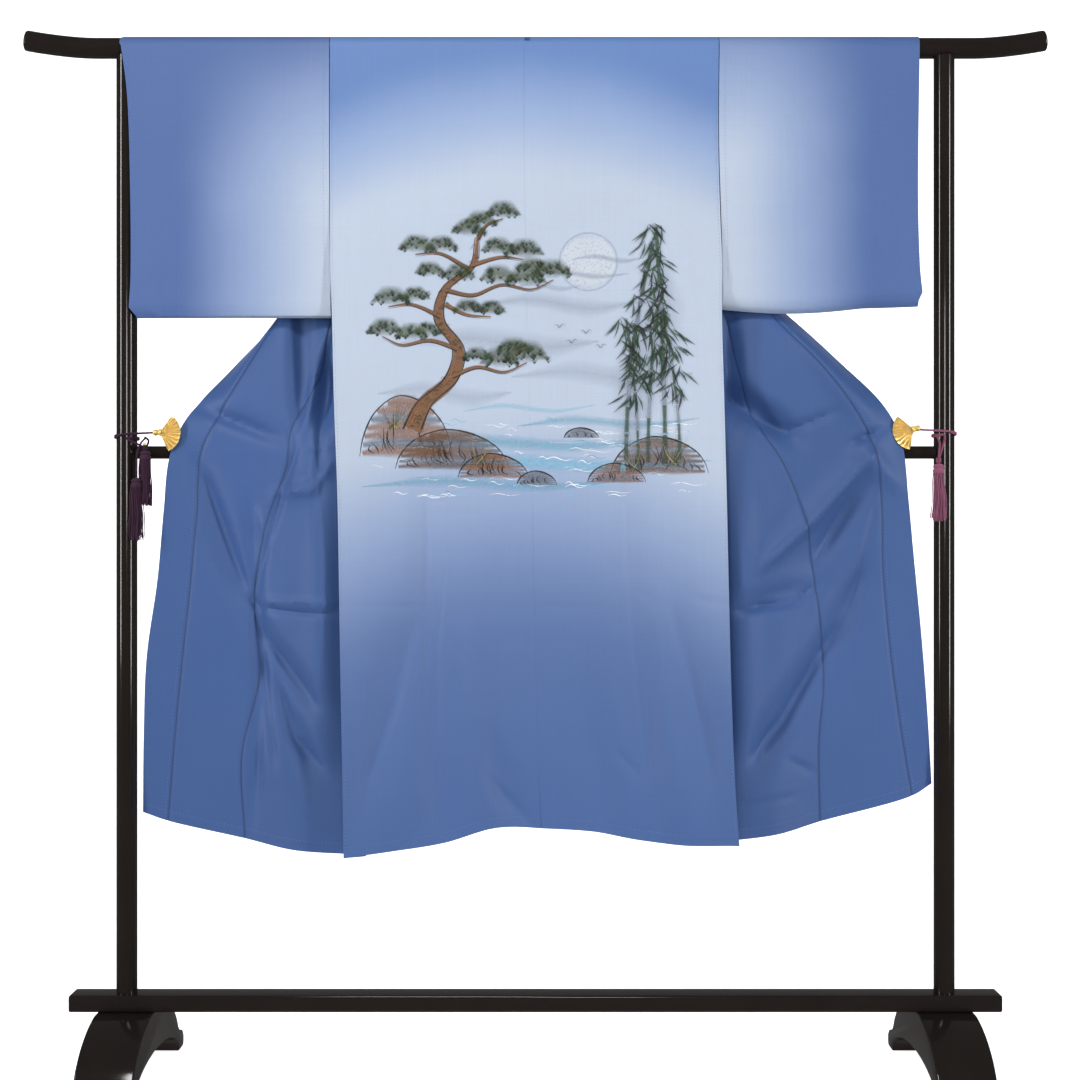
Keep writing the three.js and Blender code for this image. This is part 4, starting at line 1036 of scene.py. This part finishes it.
# A foot: an arched plank with a blunt toe at each end, flat where it stands.
def footOutline():
    crown = stand["beamTop"] - stand["beamHeight"] - 0.3
    reach, high = stand["footReach"], stand["toeHeight"]
    toe = stand["footCrown"] * math.sqrt(1 - (high / crown) ** 2)
    half = []
    for i in range(25):
        y = lerp(26, toe, i / 24)
        arc = crown * math.sqrt(1 - (y / stand["footCrown"]) ** 2)
        half.append((y, crown if i == 0 else min(arc + 3, crown)))
    half += [(toe + 14, high - 9), (reach - 9, high - 14), (reach, high - 24), (reach, 8), (reach - 4, 0)]
    inner = reach - stand["footPad"]
    half.append((inner, 0))
    for i in range(1, 21):
        angle = i / 20 * math.pi / 2
        half.append((inner * math.cos(angle), stand["footArch"] * math.sin(angle)))
    return half + [(-y, z) for y, z in half[-2::-1]]


for name, sign in (("left", -1), ("right", 1)):
    middle, half = sign * stand["footOut"], stand["footWidth"] / 2
    foot = extruded("foot" + name.title(), footOutline(), middle - half, middle + half, "lacquer", 3.0, 5)
    place(foot, "lacquer", "foot_" + name)
print("stand made")


# A Geometry Nodes group with named number inputs.
class Flow:
    def __init__(self, name, numbers):
        self.group = bpy.data.node_groups.new(name, "GeometryNodeTree")
        face = self.group.interface
        face.new_socket("Geometry", in_out="INPUT", socket_type="NodeSocketGeometry")
        face.new_socket("Geometry", in_out="OUTPUT", socket_type="NodeSocketGeometry")
        kinds = {int: "NodeSocketInt", float: "NodeSocketFloat"}
        self.identifiers = {
            key: face.new_socket(key, in_out="INPUT", socket_type=kinds[type(value)]).identifier
            for key, value in numbers.items()
        }
        self.numbers = numbers
        start = self.group.nodes.new("NodeGroupInput")
        self.given = {socket.name: socket for socket in start.outputs}
        self.end = self.group.nodes.new("NodeGroupOutput")

    def node(self, kind, settings=None, inputs=None, output=0):
        made = self.group.nodes.new(kind)
        for key, value in (settings or {}).items():
            setattr(made, key, value)
        for key, value in (inputs or {}).items():
            many = value if isinstance(value, list) else [value]
            for one in many:
                if isinstance(one, bpy.types.NodeSocket):
                    self.group.links.new(one, made.inputs[key])
                else:
                    made.inputs[key].default_value = one
        return made.outputs[output]

    def math(self, operation, a, b=0.0):
        return self.node("ShaderNodeMath", {"operation": operation}, {0: a, 1: b})

    def vector(self, x=0.0, y=0.0, z=0.0):
        return self.node("ShaderNodeCombineXYZ", inputs={0: x, 1: y, 2: z})

    def circle(self, sides, radius):
        inputs = {"Resolution": sides, "Radius": radius}
        return self.node("GeometryNodeCurvePrimitiveCircle", {"mode": "RADIUS"}, inputs)

    def swept(self, curve, profile):
        inputs = {0: curve, "Profile Curve": profile, "Fill Caps": True}
        return self.node("GeometryNodeCurveToMesh", inputs=inputs)

    def copied(self, points, piece, turn, **more):
        inputs = {0: points, "Instance": piece, "Rotation": turn, **more}
        return self.node("GeometryNodeInstanceOnPoints", inputs=inputs)

    def finish(self, geometry, finish):
        whole = self.node("GeometryNodeRealizeInstances", inputs={0: geometry})
        smooth = self.node("GeometryNodeSetShadeSmooth", inputs={0: whole})
        painted = self.node("GeometryNodeSetMaterial", inputs={0: smooth, "Material": finishes[finish]})
        self.group.links.new(painted, self.end.inputs[0])
        return self

    # Runs the tree on points in millimetres joined by a line or left loose, and gives a plain mesh object.
    def grow(self, name, points, finish, line=True, **numbers):
        edges = [(i, i + 1) for i in range(len(points) - 1)] if line else []
        mesh = bpy.data.meshes.new(name)
        mesh.from_pydata((np.asarray(points, float) * 0.001).tolist(), edges, [])
        made = bpy.data.objects.new(name, mesh)
        scene.collection.objects.link(made)
        modifier = made.modifiers.new("flow", "NODES")
        modifier.node_group = self.group
        for key, value in {**self.numbers, **numbers}.items():
            modifier[self.identifiers[key]] = value
        grown = converted(made)
        grown.materials.clear()
        grown.materials.append(finishes[finish])
        return made


# Three twisted strands along a line: radius of the whole cord, and turns over its length.
def ropeFlow(finish):
    flow = Flow("rope", {"Radius": 0.0015, "Turns": 40.0, "Steps": 240})
    curve = flow.node("GeometryNodeMeshToCurve", inputs={0: flow.given["Geometry"]})
    curve = flow.node("GeometryNodeResampleCurve", inputs={0: curve, "Count": flow.given["Steps"]})
    share = flow.node("GeometryNodeSplineParameter")
    tilt = flow.math("MULTIPLY", flow.math("MULTIPLY", share, flow.given["Turns"]), 2 * math.pi)
    curve = flow.node("GeometryNodeSetCurveTilt", inputs={0: curve, "Tilt": tilt})
    circle = flow.circle(7, flow.math("MULTIPLY", flow.given["Radius"], 0.56))
    off = flow.math("MULTIPLY", flow.given["Radius"], 0.5)
    strands = []
    for i in range(3):
        x, y = (flow.math("MULTIPLY", off, trig(i * 2.0944)) for trig in (math.cos, math.sin))
        moved = {0: circle, "Translation": flow.vector(x, y)}
        strands.append(flow.node("GeometryNodeTransform", inputs=moved))
    profile = flow.node("GeometryNodeJoinGeometry", inputs={0: strands})
    return flow.finish(flow.swept(curve, profile), finish)


# Hanging threads from loose points: each leans outwards from the bundle's middle and sways a little.
def threadFlow(finish):
    flow = Flow("threads", {"Length": 0.07, "Radius": 0.0004, "Lean": 2.0, "Seed": 3})
    end = flow.vector(0.0, 0.0, flow.math("MULTIPLY", flow.given["Length"], -1.0))
    line = flow.node("GeometryNodeCurvePrimitiveLine", inputs={"Start": (0, 0, 0), "End": end})
    line = flow.node("GeometryNodeResampleCurve", inputs={0: line, "Count": 9})
    spot = flow.node("GeometryNodeInputPosition")
    z = flow.node("ShaderNodeSeparateXYZ", inputs={0: spot}, output=2)
    wave = flow.math("MULTIPLY", flow.math("SINE", flow.math("MULTIPLY", z, 95.0)), 0.0011)
    line = flow.node("GeometryNodeSetPosition", inputs={0: line, "Offset": flow.vector(wave, 0.0, 0.0)})
    thread = flow.swept(line, flow.circle(5, flow.given["Radius"]))
    bundle = {0: flow.given["Geometry"], "Attribute": spot}
    centre = flow.node("GeometryNodeAttributeStatistic", {"data_type": "FLOAT_VECTOR"}, bundle, "Mean")
    away = flow.node("ShaderNodeVectorMath", {"operation": "SUBTRACT"}, {0: spot, 1: centre})
    parts = flow.node("ShaderNodeSeparateXYZ", inputs={0: away}).node
    leanX, leanY = (
        flow.math("MULTIPLY", flow.math("MULTIPLY", parts.outputs[i], flow.given["Lean"]), by)
        for i, by in ((1, 8.0), (0, -8.0))
    )

    def chance(low, high, seed):
        limits = {2: low, 3: high, "Seed": seed}
        return flow.node("FunctionNodeRandomValue", {"data_type": "FLOAT"}, limits, 1)

    turn = chance(-3.1, 3.1, flow.given["Seed"])
    size = chance(0.9, 1.02, flow.math("ADD", flow.given["Seed"], 5.0))
    spin = flow.node("FunctionNodeEulerToRotation", inputs={0: flow.vector(leanX, leanY, turn)})
    hung = flow.copied(flow.given["Geometry"], thread, spin, Scale=flow.vector(1.0, 1.0, size))
    return flow.finish(hung, finish)


# Small sewn stitches at an even pitch along a line.
def stitchFlow(finish):
    flow = Flow("stitches", {"Pitch": 0.006, "Length": 0.0022, "Radius": 0.00035})
    curve = flow.node("GeometryNodeMeshToCurve", inputs={0: flow.given["Geometry"]})
    pitch = {0: curve, "Length": flow.given["Pitch"]}
    curve = flow.node("GeometryNodeResampleCurve", {"mode": "LENGTH"}, pitch)
    tangent = flow.node("GeometryNodeInputTangent")
    turn = flow.node("FunctionNodeAlignRotationToVector", {"axis": "Z"}, {"Vector": tangent})
    bead = {"Segments": 6, "Rings": 4, "Radius": flow.given["Radius"]}
    stitch = flow.node("GeometryNodeMeshUVSphere", inputs=bead)
    long = flow.math("DIVIDE", flow.given["Length"], flow.math("MULTIPLY", flow.given["Radius"], 2.0))
    return flow.finish(flow.copied(curve, stitch, turn, Scale=flow.vector(1.0, 1.0, long)), finish)


# Fan ribs: bars that spread from a pivot at even angles in the plane y = 0.
def ribFlow(finish):
    flow = Flow("ribs", {"Count": 10, "From": -66.0, "Step": 13.3, "Length": 0.03, "Width": 0.0012})
    length, width = flow.given["Length"], flow.given["Width"]
    pivots = {"Count": flow.given["Count"], "Offset": (0, 0, 0)}
    row = flow.node("GeometryNodeMeshLine", {"mode": "OFFSET"}, pivots)
    index = flow.node("GeometryNodeInputIndex")
    angle = flow.math("ADD", flow.math("MULTIPLY", index, flow.given["Step"]), flow.given["From"])
    swing = flow.vector(0.0, flow.math("MULTIPLY", angle, -math.pi / 180), 0.0)
    turn = flow.node("FunctionNodeEulerToRotation", inputs={0: swing})
    bar = flow.node("GeometryNodeMeshCube", inputs={"Size": flow.vector(length, width, width)})
    shift = flow.vector(flow.math("MULTIPLY", length, 0.5), 0.0, 0.0)
    bar = flow.node("GeometryNodeTransform", inputs={0: bar, "Translation": shift})
    return flow.finish(flow.copied(row, bar, turn), finish)


# A turned shape: radius and height pairs spun round z, then moved.
def turned(name, profile, move, finish, sides=28, sharp=35):
    profile = np.asarray(profile, float)
    angle = np.arange(sides) / sides * 2 * math.pi
    across = [np.outer(profile[:, 0], trig(angle)) for trig in (np.cos, np.sin)]
    rings = np.stack([*across, np.repeat(profile[:, 1:2], sides, 1)], -1).reshape(-1, 3)
    ends = np.array([[0, 0, profile[0, 1]], [0, 0, profile[-1, 1]]])
    return capped(name, move(np.concatenate([rings, ends])), len(profile), sides, finish, sharp)


def ballProfile(radius):
    t = np.linspace(0.04, math.pi - 0.04, 14)
    return np.stack([radius * np.sin(t), -radius * np.cos(t)], -1)


fans = {
    "left": {"at": [-625, -16, 1088], "turnBy": 0, "mirror": False},
    "right": {"at": [629, -16, 1093], "turnBy": -14, "mirror": True},
    "arc": (-66, 54), "steps": 108, "ripple": 1.1, "reach": 34, "pleats": 9,
}
ribs = ribFlow("gold")


# A fan clip, made in the plane y = 0 about its pivot, then turned, mirrored and set in its place.
def fanClip(name, at, turnBy, mirror):
    a = math.radians(turnBy)
    flip = -1 if mirror else 1

    def move(p):
        p = np.asarray(p, float)
        x = p[..., 0] * math.cos(a) - p[..., 2] * math.sin(a)
        z = p[..., 0] * math.sin(a) + p[..., 2] * math.cos(a)
        return np.stack([x * flip, p[..., 1], z], -1) + at

    def sector(label, radii, depth, thick, arc=fans["arc"], steps=fans["steps"], ripple=fans["ripple"],
               pleats=fans["pleats"]):
        angle = np.radians(np.linspace(*arc, steps + 1))
        saw = np.abs((np.linspace(0, pleats, steps + 1) % 1) * 2 - 1) * 2 - 1
        ring = np.asarray(radii, float)[:, None]
        wave = depth + ripple * ring / fans["reach"] * saw
        grid = np.stack([ring * np.cos(angle), wave, ring * np.sin(angle)], -1)
        return wall(label, move(grid), "gold", thick)

    # A turned shape whose axis lies along y, its base at the depth given.
    def pin(label, profile, base, sides=28):
        def lay(p):
            return move(np.stack([p[:, 0], p[:, 2] + base, p[:, 1]], -1))

        return turned(label, profile, lay, "gold", sides)

    parts = [
        sector("plate", np.linspace(5, 32.6, 10), -6, 0.5),
        sector("rim", np.linspace(30.6, 34, 5), -6.2, 1.1),
        sector("rimInner", np.linspace(18.5, 19.3, 3), -6.3, 0.9),
        sector("rear", np.linspace(4, 23.8, 6), 7, 1.2, (-20, 40), 24, 0.2, 3),
        pin("hinge", [(4.6, 0), (5.6, 0.8), (5.6, 14.6), (4.6, 15.4)], -7.2),
        pin("rivet", [(1.2, -2.3), (2.2, -1.9), (2.6, -0.9), (2.6, 0)], -7.1, 18),
        turned("neck", [(2.4, 0), (2.0, 2), (2.0, 6), (2.6, 8)],
               lambda p: move(np.stack([p[:, 2] - 9, p[:, 0], p[:, 1]], -1)), "gold", 16),
        turned("knob", ballProfile(5.2), lambda p: move(p + [-9, 0, 0]), "gold", 22, 80),
    ]
    bars = ribs.grow("ribBars", [[0, 0, 0]], "gold", False)
    spots = np.array([v.co for v in bars.data.vertices]) * 1000 + [0, -7.0, 0]
    bars.data.vertices.foreach_set("co", (move(spots) * 0.001).ravel())
    if mirror:
        bars.data.flip_normals()
    bars.data.update()
    return joined(name, [*parts, bars])


for name in sides:
    place(fanClip("clip" + name.title(), **fans[name]), "gold", "clip_" + name)
print("clips made")

tassels = {
    "tassel_left_short": {"top": [-649, -25, 1058], "length": 80, "finish": "plum", "seed": 3},
    "tassel_left_long": {"top": [-662, -31, 1012], "length": 92, "finish": "plum", "seed": 8},
    "tassel_right": {"top": [670, -28, 1036], "length": 84, "finish": "mauve", "seed": 5},
}
tasselShape = {"radius": 11.5, "threads": 150, "head": 16, "skirtFrom": 12.5, "goldenAngle": 2.39996}
threads = {key: threadFlow(key) for key in ("plum", "mauve")}
ropes = {key: ropeFlow(key) for key in ("plum", "mauve")}


# A tassel: a bound head with a wound neck, and threads that hang from under it.
def tassel(name, top, length, finish, seed):
    top, radius, count = np.array(top, float), tasselShape["radius"], tasselShape["threads"]
    height = np.linspace(0, -tasselShape["head"], 60)
    shape = np.interp(-height, [0, 1.5, 5, 8.5, 11, 16], [0.12, 0.55, 0.82, 0.66, 0.86, 0.8]) * radius
    winding = 0.22 * np.sin(height * 2 * math.pi / 1.1)
    head = turned("head", np.stack([shape + winding, height], -1), lambda p: p + top, finish, 26, 80)
    index = np.arange(count)
    ring = np.sqrt((index + 0.5) / count) * radius * 0.78
    turn = index * tasselShape["goldenAngle"]
    below = 0 * ring - tasselShape["skirtFrom"]
    spots = np.stack([ring * np.cos(turn), ring * np.sin(turn), below], -1) + top
    skirt = threads[finish].grow("skirt", spots, finish, False, Length=(length - 1) * 0.001, Radius=0.00055,
                                 Lean=1.0, Seed=seed)
    return joined(name, [head, skirt])


def camel(node):
    return "".join(word.title() if i else word for i, word in enumerate(node.split("_")))


for node, numbers in tassels.items():
    place(tassel(camel(node), **numbers), numbers["finish"], node)

# Small stitches just inside the hems, the cuffs and the seams, lying on the near face.
stitches = stitchFlow("blueThread")
for slot, rows in stitchRows.items():
    sewn = [stitches.grow("sewn", row - [0, 0.62, 0], "blueThread") for row in rows]
    place(joined("stitches" + slot[5:].title(), sewn), slot)


cords = {
    "cord_left": {
        "sign": -1, "start": [-637, -16, 1088], "knot": [-649, -25, 1062], "finish": "plum", "loops": [
            [[-649, -25, 1078], [-655, -29, 1070], [-661, -31, 1052], [-662, -31, 1034], [-662, -31, 1012]],
            [[-650, -24, 1080], [-643, -27, 1074], [-645, -28, 1066], [-649, -25, 1060]],
        ],
    },
    "cord_right": {
        "sign": 1, "start": [641, -16, 1093], "knot": [670, -28, 1040], "finish": "mauve", "loops": [
            [[668, -26, 1082], [672, -27, 1070], [671, -28, 1055], [670, -28, 1038]],
        ],
    },
}
cordShape = {"radius": 0.0018, "turns": [262, 240, 215, 180, 145, 110, 75, 40, 5, -30, -55, -78]}


# A clip's cord, laid double: from its knob, once round the post, and back to the knot over the tassel.
def clipCord(name, sign, start, knot, finish, loops):
    ring = stand["postRadius"] + 2.2
    strands = []

    def lay(label, path, turns, **more):
        more.update(Turns=turns, Radius=cordShape["radius"])
        strands.append(ropes[finish].grow(label, path, finish, **more))

    for shift in (0, 3.1):
        points = [start]
        for i, degrees in enumerate(cordShape["turns"]):
            angle = math.radians(degrees)
            x = sign * stand["postOut"] - sign * ring * math.cos(angle)
            z = start[2] - 3 - 6 * i / 11 - shift * math.sin(i / 11 * math.pi) ** 0.5
            points.append([x, ring * math.sin(angle), z])
        lay("strand", smoothPath([*points, knot], 160), 34.0)
    for path in loops:
        lay("loop", smoothPath(path, 60), 11.0, Steps=80)
    around = np.linspace(0, 2 * math.pi, 30)
    for k in range(3):
        z = knot[2] + 3.2 - k * 2.2 + 0.6 * np.sin(around)
        circle = np.stack([knot[0] + 2.6 * np.cos(around), knot[1] + 2.6 * np.sin(around), z], -1)
        lay("knot", circle, 4.0, Steps=40)
    return joined(name, strands)


for node, numbers in cords.items():
    place(clipCord(camel(node), **numbers), numbers["finish"], node)
bead = turned("beadLeft", ballProfile(2.6), lambda p: p + [-650, -27, 1068], "gold", 20, 80)
place(bead, "gold")
print("cords and tassels made")

stage = {
    "colour": (0.9, 0.9, 0.9, 1), "glow": 0.95, "half": 9000, "front": -9000, "backAt": 3600, "bend": 1200,
    "bendSteps": 14, "wallStep": 600, "world": 0.12,
}
lights = {
    "topBox": {"spot": (-0.6, -3.0, 3.7), "aim": (0, 0, 0.9), "width": 1.2, "height": 0.7, "power": 62},
    "frontBox": {"spot": (0.3, -4.4, 1.5), "aim": (0, 0, 0.9), "width": 0.7, "height": 0.9, "power": 26},
    "leftStrip": {"spot": (-3.3, -1.9, 1.7), "aim": (0, 0, 0.95), "width": 0.45, "height": 2.4, "power": 66},
    "rightStrip": {"spot": (3.5, -2.3, 1.5), "aim": (0, 0, 0.95), "width": 0.4, "height": 2.4, "power": 76},
}
photo = {"lens": 53.6, "sensor": 36, "shift": 0.0185, "at": (0.0076, -2.7, 0.8755)}


# Pale floor and backdrop. Only what lies behind the stand glows, as light on a studio's back wall does.
def stageFinish(name, colour, glow):
    shader = Shader(name)
    spot, x, y, z = shader.place()
    behind = y.step(-0.7, 0.1)
    tone = shader.tint(colour, (0.72 + behind * 0.26) * (0.985 + shader.noise(spot, 3.0) * 0.03))
    return shader.finish({
        "Base Color": tone, "Roughness": 0.8, "Emission Color": shader.tint(colour, behind),
        "Emission Strength": glow,
    })


finishes["floor"] = stageFinish("paleFloor", stage["colour"], stage["glow"])
rows = [(stage["front"], 0)]
for k in range(25):
    angle = min(k / stage["bendSteps"], 1) * math.pi / 2
    up = max(k - stage["bendSteps"], 0) * stage["wallStep"]
    y, z = stage["bend"] * math.sin(angle), stage["bend"] * math.cos(angle)
    rows.append((stage["backAt"] + y, stage["bend"] - z + up))
points = [(x, y, z) for y, z in rows for x in (-stage["half"], stage["half"])]
panels = [[2 * i, 2 * i + 1, 2 * i + 3, 2 * i + 2] for i in range(len(rows) - 1)]
backdrop = meshObject("backdrop", points, panels, "floor")
backdrop.visible_glossy = False  # keeps the floor's glow out of the lacquer

world = bpy.data.worlds.new("studio")
world.use_nodes = True
world.node_tree.nodes["Background"].inputs[0].default_value = (1, 1, 1, 1)
world.node_tree.nodes["Background"].inputs[1].default_value = stage["world"]
scene.world = world


def softbox(name, spot, aim, width, height, power):
    light = bpy.data.lights.new(name, "AREA")
    light.shape, light.size, light.size_y, light.energy = "RECTANGLE", width, height, power
    made = bpy.data.objects.new(name, light)
    made.location = spot
    made.rotation_euler = (Vector(aim) - Vector(spot)).to_track_quat("-Z", "Y").to_euler()
    scene.collection.objects.link(made)


for name, light in lights.items():
    softbox(name, **light)

view = bpy.data.cameras.new("view")
view.lens, view.sensor_width, view.shift_y = photo["lens"], photo["sensor"], photo["shift"]
camera = bpy.data.objects.new("camera", view)
camera.location = photo["at"]
camera.rotation_euler = (math.pi / 2, 0, 0)
scene.collection.objects.link(camera)
scene.camera = camera
scene.view_settings.view_transform = "Standard"
print("stage and camera set")
